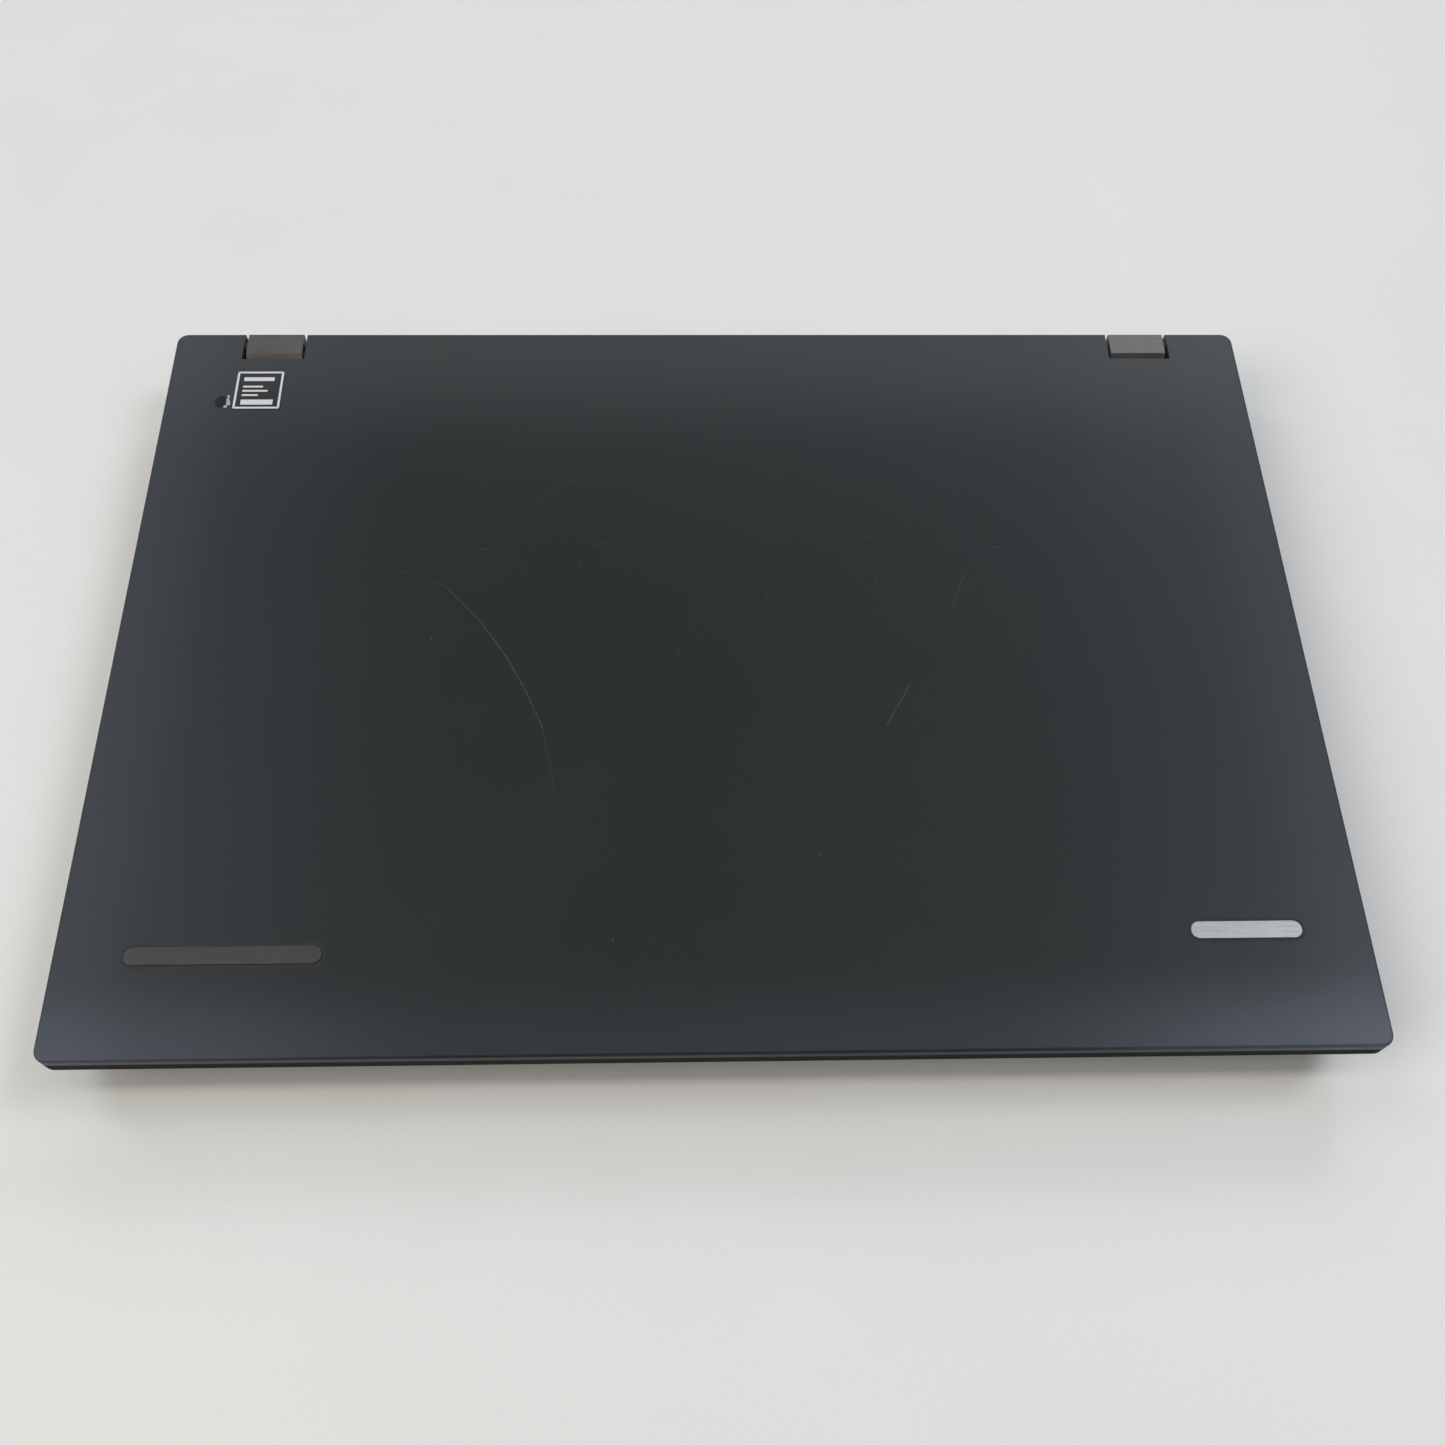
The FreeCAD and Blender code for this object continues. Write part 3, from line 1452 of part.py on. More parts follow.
def make_wireless_card():
    body = body_named("wireless_card")
    socket = box(*span("-radio_x", "radio_width"), "-radio_y - socket_depth", "-radio_y")
    add(body, "XY", [socket], "board_top", "board_top + radio_socket + radio_height")
    card = box(*span("-radio_x", "radio_width"), "-radio_y", "radio_depth - radio_y")
    add(body, "XY", [card], "board_top + radio_socket", "board_top + radio_socket + radio_height")


def make_io_boards():
    body = body_named("io_boards")
    right = "inner_x - fit_clearance"
    boards = [
        box(f"{right} - small_board_width", right, *span(middle, "small_board_depth"))
        for middle in ("-audio_y", "usb_right_y")
    ]
    add(body, "XY", boards, "floor_top", "small_board_top")


# Drives
def make_storage():
    body = body_named("storage_drive")
    rear = "storage_depth - storage_front"
    outline = box("-storage_left", "storage_width - storage_left", "-storage_front", rear)
    add(body, "XY", [outline], "floor_top", "floor_top + storage_height")
    plug = box(*span("plug_inset - storage_left", "plug_width"), f"{rear} - plug_depth", rear)
    base = "floor_top + plug_lift"
    cut(body, "XY", [plug], base, f"{base} + plug_height")


def make_optical_drive():
    body = body_named("optical_drive")
    outline = box("optical_left", "optical_right", "-optical_front", "optical_rear")
    add(body, "XY", [outline], "floor_top", "optical_top")
    wall = "optical_wall"
    hollow = box(
        f"{wall} - optical_front",
        f"optical_rear - {wall}",
        f"floor_top + {wall}",
        f"optical_top - {wall}",
    )
    cut(body, "YZ", [hollow], f"optical_left + {wall}", "optical_right")


def make_drive_tray():
    tray = body_named("drive_tray")
    edge = "optical_wall + tray_side_gap"
    front = "optical_right + slide_clearance"
    outline = box(f"optical_left + {edge}", front, f"{edge} - optical_front", f"optical_rear - ({edge})")
    add(tray, "XY", [outline], "tray_base", "tray_top")
    cut(tray, "XY", [ring("optical_x", "optical_y", "disc_radius")], "well_floor", "tray_top")
    pit = "tray_base + hub_pit"
    cut(tray, "XY", [ring("optical_x", "optical_y", "hub_radius + slide_clearance")], pit, "well_floor")
    bearing = ring("optical_x", "optical_y", "hub_pin_radius + running_clearance")
    cut(tray, "XY", [bearing], "tray_base", pit)
    slot_start = "optical_x + hub_radius + sled_slot_gap"
    slot_width = "sled_width + 2 * slide_clearance"
    slot = box(slot_start, f"{slot_start} + sled_slot_length", *span("optical_y", slot_width))
    cut(tray, "XY", [slot], pit, "well_floor")

    hub = body_named("disc_hub")
    base = f"{pit} + slide_clearance"
    seat = "well_floor + hub_height / 2"
    add(hub, "XY", [ring("optical_x", "optical_y", "hub_radius")], base, seat)
    boss = ring("optical_x", "optical_y", "hub_boss_radius")
    add(hub, "XY", [boss], seat, f"{seat} + hub_boss_height")
    add(hub, "XY", [ring("optical_x", "optical_y", "hub_pin_radius")], "tray_base + fit_clearance", base)

    sled = body_named("laser_sled")
    left = f"{slot_start} + slide_clearance"
    outline = box(left, f"{left} + sled_length", *span("optical_y", "sled_width"))
    add(sled, "XY", [outline], f"{pit} + fit_clearance", "well_floor - fit_clearance")
    lens = ring(f"{left} + sled_length / 2", "optical_y", "sled_width / 6")
    add(sled, "XY", [lens], "well_floor - fit_clearance", "well_floor + fit_clearance")

    face = body_named("tray_bezel")
    outline = box("-optical_front", "optical_rear", "floor_top + fit_clearance", "optical_top")
    add(face, "YZ", [outline], front, "case_x")
    middle = "eject_set_back - optical_front"
    height = "(floor_top + optical_top) / 2"
    room = "2 * slide_clearance"
    pocket = box(*span(middle, f"eject_width + {room}"), *span(height, f"eject_height + {room}"))
    cut(face, "YZ", [pocket], "case_x - eject_pocket", "case_x")

    button = body_named("eject_button")
    outline = box(*span(middle, "eject_width"), *span(height, "eject_height"))
    add(button, "YZ", [outline], "case_x - eject_depth", "case_x")


# Battery
def make_battery():
    body = body_named("battery_pack")
    outline = box("-battery_x", "battery_x", "battery_front", "case_y")
    add(body, "XY", [outline], "foot_height", "battery_top")
    rear = number("case_y")
    bottom = number("foot_height")

    def lower_rear(ends):
        return all(near(end.y, rear) and near(end.z, bottom) for end in ends)
    chamfer(body, "bottom_chamfer", lower_rear)
    for side in (1, -1):
        left, right = mirrored(side, "battery_x - rail_depth", "battery_x")
        groove = box(left, right, "battery_front", "case_y - case_wall")
        cut(body, "XY", [groove], "rail_base", "rail_base + rail_height")
        left, right = mirrored(side, "battery_x - latch_pocket", "battery_x")
        pocket = box(left, right, *span("latch_y", "latch_width + 2 * slide_clearance"))
        low = "latch_base - slide_clearance"
        cut(body, "XY", [pocket], low, f"{low} + latch_thickness + 2 * slide_clearance")
    slot_end = "battery_front + blade_length + slide_clearance"
    first = cut(body, "XZ", [blade_slot()], "battery_front", slot_end)
    repeat(body, first, "X", 5, "blade_pitch")

    plug = body_named("battery_connector")
    rear = "bay_front - bay_wall"
    outline = box(*span("connector_x", "connector_width"), f"{rear} - connector_depth", rear)
    add(plug, "XY", [outline], "board_top", "board_top + connector_height")
    left, right = span("connector_x - 2 * blade_pitch", "blade_width")
    blade = box(left, right, "board_top + blade_lift", "board_top + blade_lift + blade_height")
    first = add(plug, "XZ", [blade], rear, "battery_front + blade_length")
    repeat(plug, first, "X", 5, "blade_pitch")


def make_latch(side, name):
    body = body_named(name)
    left, right = mirrored(side, "latch_start", "latch_start + latch_length")
    plate = box(left, right, *span("latch_y", "latch_width"))
    add(body, "XY", [plate], "latch_base", "latch_base + latch_thickness")
    neck = "latch_start + latch_length - latch_neck"
    left, right = mirrored(side, neck, f"{neck} + latch_neck")
    under = "foot_height - fit_clearance"
    add(body, "XY", [box(left, right, *span("latch_y", "latch_neck"))], under, "latch_base")
    left, right = mirrored(side, f"{neck} - latch_neck / 4", f"{neck} + 5 * latch_neck / 4")
    knob = box(left, right, *span("latch_y", "latch_width - 2 * slide_clearance"))
    add(body, "XY", [knob], f"{under} - latch_knob", under)


# Sockets
def make_usb_ports():
    body = body_named("usb_ports")
    sockets = [
        (-1, "-usb_front_y", "port_height"),
        (-1, "-usb_middle_y", "port_height"),
        (1, "usb_right_y", "small_board_top + usb_height / 2"),
    ]
    for side, middle, height in sockets:
        shell = box(*span(middle, "usb_width"), *span(height, "usb_height"))
        add(body, "YZ", [shell], *mirrored(side, "case_x - usb_depth", "case_x"))
        inner = box(
            *span(middle, "usb_width - 2 * shell_wall"),
            *span(height, "usb_height - 2 * shell_wall"),
        )
        back = "case_x - usb_depth + 3 * shell_wall"
        cut(body, "YZ", [inner], *mirrored(side, back, "case_x"))
        lift = f"{height} + tongue_thickness / 2"
        tongue = box(*span(middle, "usb_width - 4 * shell_wall"), *span(lift, "tongue_thickness"))
        add(body, "YZ", [tongue], *mirrored(side, back, "case_x - 3 * shell_wall"))


def make_video_port():
    body = body_named("video_port")
    flange = box(*span("video_y", "video_flange_width"), *span("port_height", "video_flange_height"))
    add(body, "YZ", [flange], "-inner_x", "video_flange_thickness - inner_x")
    block = box(*span("video_y", "video_screw_spacing"), *span("port_height", "video_flange_height"))
    add(body, "YZ", [block], "video_flange_thickness - inner_x", "-board_left")
    add(body, "YZ", [video_shape("0")], "-case_x", "-inner_x")
    floor = "case_wall - inner_x + 2 * video_flange_thickness"
    cut(body, "YZ", [video_shape("-shell_wall")], "-case_x", floor)
    add(body, "YZ", [video_shape("-3 * shell_wall")], "-inner_x", floor)
    add(body, "YZ", rings(VIDEO_SCREWS, "video_screw_radius"), "-case_x", "-inner_x")
    threads = rings(VIDEO_SCREWS, "video_screw_radius / 2")
    cut(body, "YZ", threads, "-case_x", "video_flange_thickness - inner_x")


def make_card_slot():
    body = body_named("card_slot")
    height = "board_height - card_height / 2"
    shell = box(*span("-card_y", "card_width"), *span(height, "card_height"))
    add(body, "YZ", [shell], "-case_x", "card_depth - case_x")
    across = span("-card_y", "card_width - 4 * shell_wall")
    slot = box(*across, *span(height, "card_height - 2 * shell_wall"))
    cut(body, "YZ", [slot], "-case_x", "card_depth - case_x - 4 * shell_wall")


def make_network_jack():
    body = body_named("network_jack")
    shell = box(*span("network_y", "network_width"), "floor_top", "floor_top + network_height")
    add(body, "YZ", [shell], "case_x - network_depth", "case_x")
    height = "floor_top + network_height / 2"
    mouth = box(*span("network_y", "network_opening_width"), *span(height, "network_opening_height"))
    cut(body, "YZ", [mouth], "case_x - network_opening_depth", "case_x")


def make_audio_jack():
    body = body_named("audio_jack")
    block = box(*span("-audio_y", "audio_body_width"), *span("audio_z", "audio_body_height"))
    add(body, "YZ", [block], "inner_x - audio_body_depth", "inner_x")
    add(body, "YZ", [ring("-audio_y", "audio_z", "audio_bush_radius")], "inner_x", "case_x")
    cut(body, "YZ", [ring("-audio_y", "audio_z", "audio_radius")], "case_x - audio_depth", "case_x")


def make_power_inlet():
    body = body_named("power_inlet")
    block = box(*span("power_x", "power_width"), "floor_top", "floor_top + power_height")
    add(body, "XZ", [block], "inner_y - power_depth", "inner_y")
    height = "floor_top + power_height / 2"
    floor = "inner_y - power_depth + case_wall"
    cut(body, "XZ", [ring("power_x", height, "power_radius")], floor, "inner_y")
    add(body, "XZ", [ring("power_x", height, "power_pin_radius")], floor, "inner_y - case_wall")


def make_speakers():
    body = body_named("speakers")
    boxes = [
        box(*span(f"{side} * speaker_x", "speaker_width"), *span("-speaker_y", "speaker_depth"))
        for side in (1, -1)
    ]
    add(body, "XY", boxes, "floor_top", "floor_top + speaker_height")


make_lid_cover()
make_lid_bezel()
make_screen()
make_camera()
make_lid_bumpers()
for side, word in ((-1, "left"), (1, "right")):
    make_hinge_arm(side, word + "_hinge_arm")
    make_hinge_shaft(side, word + "_hinge_shaft")
make_hinge_washers()
cut_cable_slot(make_hinge_block(-1, "left_hinge_block"))
make_hinge_block(1, "right_hinge_block")
make_cables()
make_top_case()
make_bottom_case()
make_rubber_feet()
make_service_door()
make_screws()
make_keys()
make_keyboard_plate()
make_keyboard_frame()
make_pointing_stick()
make_touchpad()
make_power_button()
make_motherboard()
make_processor()
make_heat_pipe()
make_heat_fins()
make_fan()
make_memory()
make_wireless_card()
make_io_boards()
make_storage()
make_optical_drive()
make_drive_tray()
make_battery()
make_latch(-1, "battery_lock")
make_latch(1, "battery_release")
make_usb_ports()
make_video_port()
make_card_slot()
make_network_jack()
make_audio_jack()
make_power_inlet()
make_speakers()

# Check and write
doc.recompute()
for item in doc.Objects:
    if "Invalid" in item.State or "Error" in item.State:
        raise ValueError(f"{item.Label} failed")
for piece in PIECES:
    if piece.Shape.isNull() or not piece.Shape.isValid():
        raise ValueError(f"{piece.Label} has no sound shape")
os.makedirs("parts", exist_ok=True)
for piece in PIECES:
    piece.Shape.exportStep(f"parts/{piece.Label}.step")
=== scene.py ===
import json
import math

import bmesh
import bpy
from mathutils import Matrix, Vector


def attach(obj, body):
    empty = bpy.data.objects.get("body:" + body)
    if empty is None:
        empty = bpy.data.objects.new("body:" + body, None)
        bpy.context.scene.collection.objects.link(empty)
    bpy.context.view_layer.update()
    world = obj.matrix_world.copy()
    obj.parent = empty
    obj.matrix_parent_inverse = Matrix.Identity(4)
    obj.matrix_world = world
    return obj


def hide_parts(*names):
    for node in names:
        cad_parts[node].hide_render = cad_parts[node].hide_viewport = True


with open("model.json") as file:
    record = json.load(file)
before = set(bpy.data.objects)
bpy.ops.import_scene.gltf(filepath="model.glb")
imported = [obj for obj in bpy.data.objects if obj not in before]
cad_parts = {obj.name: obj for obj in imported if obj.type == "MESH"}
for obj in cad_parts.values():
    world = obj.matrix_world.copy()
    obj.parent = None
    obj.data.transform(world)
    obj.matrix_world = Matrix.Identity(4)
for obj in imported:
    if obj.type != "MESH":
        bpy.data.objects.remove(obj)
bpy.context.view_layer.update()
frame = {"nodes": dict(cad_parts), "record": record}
nodes = frame["nodes"]
scene = bpy.context.scene
MM = 0.001
LID_HALF_WIDTH, LID_HALF_DEPTH, LID_TOP = 169.5, 117.5, 27.0
SLOT_OF = {entry["node"]: entry["material_slot"] for entry in frame["record"]["subparts"]}


# Short ways to build shader trees

def feed(tree, socket, value):
    """Give a socket a number, a colour or another node's output."""
    if isinstance(value, bpy.types.NodeSocket):
        tree.links.new(value, socket)
    else:
        socket.default_value = value


def put(tree, kind, inputs=(), **settings):
    """Add a node with its settings and inputs."""
    node = tree.nodes.new(kind)
    for key, value in settings.items():
        setattr(node, key, value)
    for name, value in dict(inputs).items():
        feed(tree, node.inputs[name], value)
    return node


def reckon(tree, operation, *terms, clamp=False):
    """One step of arithmetic on numbers."""
    inputs = dict(enumerate(terms))
    return put(tree, "ShaderNodeMath", inputs, operation=operation, use_clamp=clamp).outputs[0]


def along(tree, operation, *terms):
    """One step of arithmetic on vectors."""
    inputs = dict(enumerate(terms))
    return put(tree, "ShaderNodeVectorMath", inputs, operation=operation).outputs["Vector"]


def measure(tree, operation, *terms):
    """A length or a dot product of vectors."""
    inputs = dict(enumerate(terms))
    return put(tree, "ShaderNodeVectorMath", inputs, operation=operation).outputs["Value"]


def times(tree, vector, factor):
    """A vector or a colour made longer or brighter."""
    inputs = {0: vector, "Scale": factor}
    return put(tree, "ShaderNodeVectorMath", inputs, operation="SCALE").outputs["Vector"]


def ramp(tree, value, low, high, start=0.0, end=1.0):
    """A smooth change from start to end as a value goes from low to high."""
    inputs = {"Value": value, "From Min": low, "From Max": high, "To Min": start, "To Max": end}
    node = put(tree, "ShaderNodeMapRange", inputs, interpolation_type="SMOOTHSTEP")
    return node.outputs["Result"]


def noise(tree, place, scale, detail=2.0, roughness=0.5):
    inputs = {"Vector": place, "Scale": scale, "Detail": detail, "Roughness": roughness}
    return put(tree, "ShaderNodeTexNoise", inputs).outputs[0]


def blend_colours(tree, share, first, second):
    node = put(tree, "ShaderNodeMix", data_type="RGBA")
    for place, value in ((0, share), (6, first), (7, second)):
        feed(tree, node.inputs[place], value)
    return node.outputs[2]


def start_group(name, inputs, outputs):
    """A shader node group with named sockets, and the sockets at its two ends."""
    group = bpy.data.node_groups.new(name, "ShaderNodeTree")
    for label, kind in inputs.items():
        group.interface.new_socket(label, in_out="INPUT", socket_type="NodeSocket" + kind)
    for label, kind in outputs.items():
        group.interface.new_socket(label, in_out="OUTPUT", socket_type="NodeSocket" + kind)
    entry = group.nodes.new("NodeGroupInput").outputs
    leave = group.nodes.new("NodeGroupOutput").inputs
    return group, entry, leave


def use_group(tree, group, **values):
    """Place a group in a tree; an input's name is written with low lines for its spaces."""
    node = put(tree, "ShaderNodeGroup", node_tree=group)
    for key, value in values.items():
        feed(tree, node.inputs[key.replace("_", " ").title()], value)
    return node.outputs


# Effects that several finishes share

def build_moulded_grain():
    """The fine bite of moulded or sprayed plastic, its uneven tone, and the smears of use."""
    group, entry, leave = start_group(
        "moulded_grain",
        {"Place": "Vector", "Colour": "Color", "Grain": "Float", "Tone": "Float",
         "Roughness": "Float", "Smear": "Float"},
        {"Colour": "Color", "Roughness": "Float", "Height": "Float"},
    )
    bite = noise(group, entry["Place"], entry["Grain"], 3.0, 0.65)
    cloud = noise(group, entry["Place"], 22.0, 5.0, 0.55)
    mixed = reckon(group, "MULTIPLY_ADD", bite, 0.5, reckon(group, "MULTIPLY", cloud, 0.5))
    swing = ramp(group, mixed, 0.3, 0.7, -1.0, 1.0)
    factor = reckon(group, "MULTIPLY_ADD", swing, entry["Tone"], 1.0)
    group.links.new(times(group, entry["Colour"], factor), leave["Colour"])
    smear = ramp(group, cloud, 0.35, 0.65, -1.0, 1.0)
    rough = reckon(group, "MULTIPLY_ADD", smear, entry["Smear"], entry["Roughness"])
    group.links.new(reckon(group, "MAXIMUM", rough, 0.08, clamp=True), leave["Roughness"])
    group.links.new(bite, leave["Height"])
    return group


def build_brushed_grain():
    """Streaks of brushed or rolled metal along X, with darker clouds of handling."""
    group, entry, leave = start_group(
        "brushed_grain",
        {"Place": "Vector", "Colour": "Color", "Streak": "Float", "Roughness": "Float"},
        {"Colour": "Color", "Roughness": "Float", "Height": "Float"},
    )
    stretched = along(group, "MULTIPLY", entry["Place"], (0.03, 1.0, 1.0))
    streak = noise(group, stretched, entry["Streak"], 3.0, 0.7)
    cloud = noise(group, entry["Place"], 110.0, 3.0)
    mixed = reckon(group, "MULTIPLY_ADD", streak, 0.6, reckon(group, "MULTIPLY", cloud, 0.4))
    factor = ramp(group, mixed, 0.25, 0.75, 0.72, 1.15)
    group.links.new(times(group, entry["Colour"], factor), leave["Colour"])
    lift = reckon(group, "SUBTRACT", mixed, 0.5)
    rough = reckon(group, "MULTIPLY_ADD", lift, 0.35, entry["Roughness"])
    group.links.new(reckon(group, "MAXIMUM", rough, 0.06, clamp=True), leave["Roughness"])
    group.links.new(streak, leave["Height"])
    return group


def build_edge_rub_and_wall_shade():
    """Wear on the upper rim of a plate about the origin, and a mask of its walls' lower part, which
    is darkened as painted shade.
    """
    group, entry, leave = start_group(
        "edge_rub_and_wall_shade",
        {"Place": "Vector", "Half Width": "Float", "Half Depth": "Float", "Top": "Float",
         "Reach": "Float"},
        {"Mask": "Float", "Shaded Wall": "Float"},
    )
    spread = along(group, "ABSOLUTE", entry["Place"])
    axes = put(group, "ShaderNodeSeparateXYZ", {0: spread}).outputs
    below = reckon(group, "SUBTRACT", entry["Top"], axes["Z"])
    from_side = reckon(group, "SUBTRACT", entry["Half Width"], axes["X"])
    from_end = reckon(group, "SUBTRACT", entry["Half Depth"], axes["Y"])
    inset = reckon(group, "MINIMUM", from_side, from_end)
    near_rim = ramp(group, inset, 0.0, entry["Reach"], 1.0, 0.0)
    near_top = ramp(group, below, 0.0, entry["Reach"], 1.0, 0.0)
    broken = ramp(group, noise(group, entry["Place"], 120.0, 4.0, 0.6), 0.45, 0.75)
    rubbed = reckon(group, "MULTIPLY", reckon(group, "MULTIPLY", near_rim, near_top), broken)
    group.links.new(rubbed, leave["Mask"])
    # the walls' lower part, from 2.4 to 3.4 mm below the top, which carries painted shade
    group.links.new(ramp(group, below, 2.4 * MM, 3.4 * MM), leave["Shaded Wall"])
    return group


def build_scratch():
    """A fine scratch between two points."""
    group, entry, leave = start_group(
        "scratch",
        {"Place": "Vector", "Start": "Vector", "End": "Vector", "Width": "Float",
         "Strength": "Float"},
        {"Mask": "Float"},
    )
    reach = along(group, "SUBTRACT", entry["End"], entry["Start"])
    lead = along(group, "SUBTRACT", entry["Place"], entry["Start"])
    drop = measure(group, "DOT_PRODUCT", lead, reach)
    whole = measure(group, "DOT_PRODUCT", reach, reach)
    foot = times(group, reach, reckon(group, "DIVIDE", drop, whole, clamp=True))
    gap = measure(group, "LENGTH", along(group, "SUBTRACT", lead, foot))
    line = ramp(group, gap, 0.0, entry["Width"], 1.0, 0.0)
    group.links.new(reckon(group, "MULTIPLY", line, entry["Strength"]), leave["Mask"])
    return group


MOULDED = build_moulded_grain()
BRUSHED = build_brushed_grain()
EDGE_RUB_AND_WALL_SHADE = build_edge_rub_and_wall_shade()
SCRATCH = build_scratch()


# Finishes

def start_finish(name):
    """A new material: its tree, its shader and its Object coordinates."""
    material = bpy.data.materials.new(name)
    material.use_nodes = True
    tree = material.node_tree
    tree.nodes.clear()
    shader = tree.nodes.new("ShaderNodeBsdfPrincipled")
    output = tree.nodes.new("ShaderNodeOutputMaterial")
    tree.links.new(shader.outputs["BSDF"], output.inputs["Surface"])
    place = tree.nodes.new("ShaderNodeTexCoord").outputs["Object"]
    return material, tree, shader, place


def roughen(tree, shader, height, depth):
    """Turn a height into the bump of the surface."""
    bump = put(tree, "ShaderNodeBump", {"Height": height, "Distance": depth})
    tree.links.new(bump.outputs["Normal"], shader.inputs["Normal"])


def wear(tree, shader, made, depth):
    """Join a grain's colour, roughness and height to the shader."""
    tree.links.new(made["Colour"], shader.inputs["Base Color"])
    tree.links.new(made["Roughness"], shader.inputs["Roughness"])
    roughen(tree, shader, made["Height"], depth)


def plastic(name, colour, roughness, grain=2600.0, depth=0.03 * MM, tone=0.12, smear=0.06):
    material, tree, shader, place = start_finish(name)
    made = use_group(
        tree, MOULDED, place=place, colour=(*colour, 1.0), grain=grain, tone=tone,
        roughness=roughness, smear=smear,
    )
    wear(tree, shader, made, depth)
    return material


def metal(name, colour, roughness, streak=2400.0, depth=0.01 * MM):
    material, tree, shader, place = start_finish(name)
    shader.inputs["Metallic"].default_value = 1.0
    made = use_group(
        tree, BRUSHED, place=place, colour=(*colour, 1.0), streak=streak, roughness=roughness,
    )
    wear(tree, shader, made, depth)
    return material


# Each run of a scratch or speck on the lid, in millimetres: start, end, half width, strength
LID_MARKS = [
    ((-108.7, 31.0), (-92.9, 26.8), 0.22, 0.35),
    ((-92.9, 26.8), (-77.3, 20.5), 0.22, 0.5),
    ((-77.3, 20.5), (-67.4, 9.5), 0.26, 0.8),
    ((-67.4, 9.5), (-58.7, -3.2), 0.28, 1.0),
    ((-58.7, -3.2), (-52.5, -15.0), 0.28, 1.0),
    ((-52.5, -15.0), (-47.8, -25.8), 0.26, 0.9),
    ((-47.8, -25.8), (-43.7, -45.8), 0.22, 0.4),
    ((73.9, 24.2), (68.7, 12.1), 0.24, 0.55),
    ((55.1, -12.5), (47.6, -25.6), 0.26, 0.9),
    ((-52.8, 50.8), (-40.4, 60.1), 0.22, 0.4),
    ((-35.2, 34.8), (-30.2, 36.6), 0.3, 0.45),
    ((81.7, 34.1), (86.2, 34.1), 0.3, 0.5),
    ((26.9, -64.1), (27.2, -64.4), 0.5, 1.0),
    ((46.8, 37.7), (47.1, 37.6), 0.4, 0.8),
    ((15.1, 16.6), (15.3, 16.3), 0.4, 0.8),
    ((-10.5, -1.9), (-10.2, -2.0), 0.4, 0.7),
    ((-69.4, 34.5), (-65.8, 33.5), 0.35, 0.6),
    ((-39.2, 28.8), (-38.9, 28.6), 0.4, 0.7),
    ((47.6, 22.3), (47.9, 22.1), 0.4, 0.7),
]


def lid_scratches(tree, flat):
    """A mask of the lid's marks, broken along their length."""
    marks = None
    for start, end, width, strength in LID_MARKS:
        line = use_group(
            tree, SCRATCH, place=flat, width=width * MM, strength=strength,
            start=Vector((*start, 0.0)) * MM, end=Vector((*end, 0.0)) * MM,
        )["Mask"]
        marks = line if marks is None else reckon(tree, "MAXIMUM", marks, line)
    skips = ramp(tree, noise(tree, flat, 900.0), 0.3, 0.6, 0.35, 1.0)
    return reckon(tree, "MULTIPLY", marks, skips)


def lid_dust(tree, flat):
    """A mask of pale specks, in some of the cells of a scattered pattern."""
    cell = put(tree, "ShaderNodeTexVoronoi", {"Vector": flat, "Scale": 75.0}).outputs
    draw = put(tree, "ShaderNodeSeparateColor", {0: cell["Color"]}).outputs[0]
    chosen = reckon(tree, "GREATER_THAN", draw, 0.6)
    return reckon(tree, "MULTIPLY", ramp(tree, cell["Distance"], 0.01, 0.024, 0.2, 0.0), chosen)


def lid_painted_sheen(tree, place, colour):
    """The paint's colour with painted reflections: lighter and bluer towards the sides and the
    rear, and a painted sheen along the front corners and the sides.
    """
    spread = put(tree, "ShaderNodeSeparateXYZ", {0: along(tree, "ABSOLUTE", place)}).outputs["X"]
    axes = put(tree, "ShaderNodeSeparateXYZ", {0: place}).outputs
    # painted reflection: the paint turns lighter and bluer towards the sides and the rear
    painted_sheen_share = reckon(
        tree, "ADD", ramp(tree, spread, 80 * MM, 172 * MM, 0.0, 0.6),
        ramp(tree, axes["Y"], 30 * MM, 120 * MM, 0.0, 0.35),
    )
    with_painted_sheen = blend_colours(tree, painted_sheen_share, colour, (0.026, 0.030, 0.034, 1.0))
    # painted reflection: paler again near the rear edge
    painted_rear_sheen_share = ramp(tree, axes["Y"], 66 * MM, 117 * MM, 0.0, 0.3)
    with_painted_rear_sheen = blend_colours(tree, painted_rear_sheen_share, with_painted_sheen, (0.076, 0.082, 0.082, 1.0))
    # painted sheen along the front edge, strongest at the corners and on the right
    painted_corner_sheen_share = reckon(
        tree, "MULTIPLY", ramp(tree, spread, 60 * MM, 168 * MM, 0.14, 0.64),
        ramp(tree, axes["X"], -170 * MM, 170 * MM, 0.8, 1.2),
    )
    front_sheen_band = ramp(tree, axes["Y"], -118 * MM, -93 * MM, 1.0, 0.0)
    painted_front_sheen_share = reckon(tree, "MULTIPLY", front_sheen_band, painted_corner_sheen_share)
    # painted sheen along the side edges
    painted_side_sheen_share = ramp(tree, spread, 140 * MM, 170 * MM, 0.0, 0.22)
    painted_edge_sheen_share = reckon(tree, "ADD", painted_front_sheen_share, painted_side_sheen_share, clamp=True)
    return blend_colours(tree, painted_edge_sheen_share, with_painted_rear_sheen, (0.072, 0.081, 0.105, 1.0))


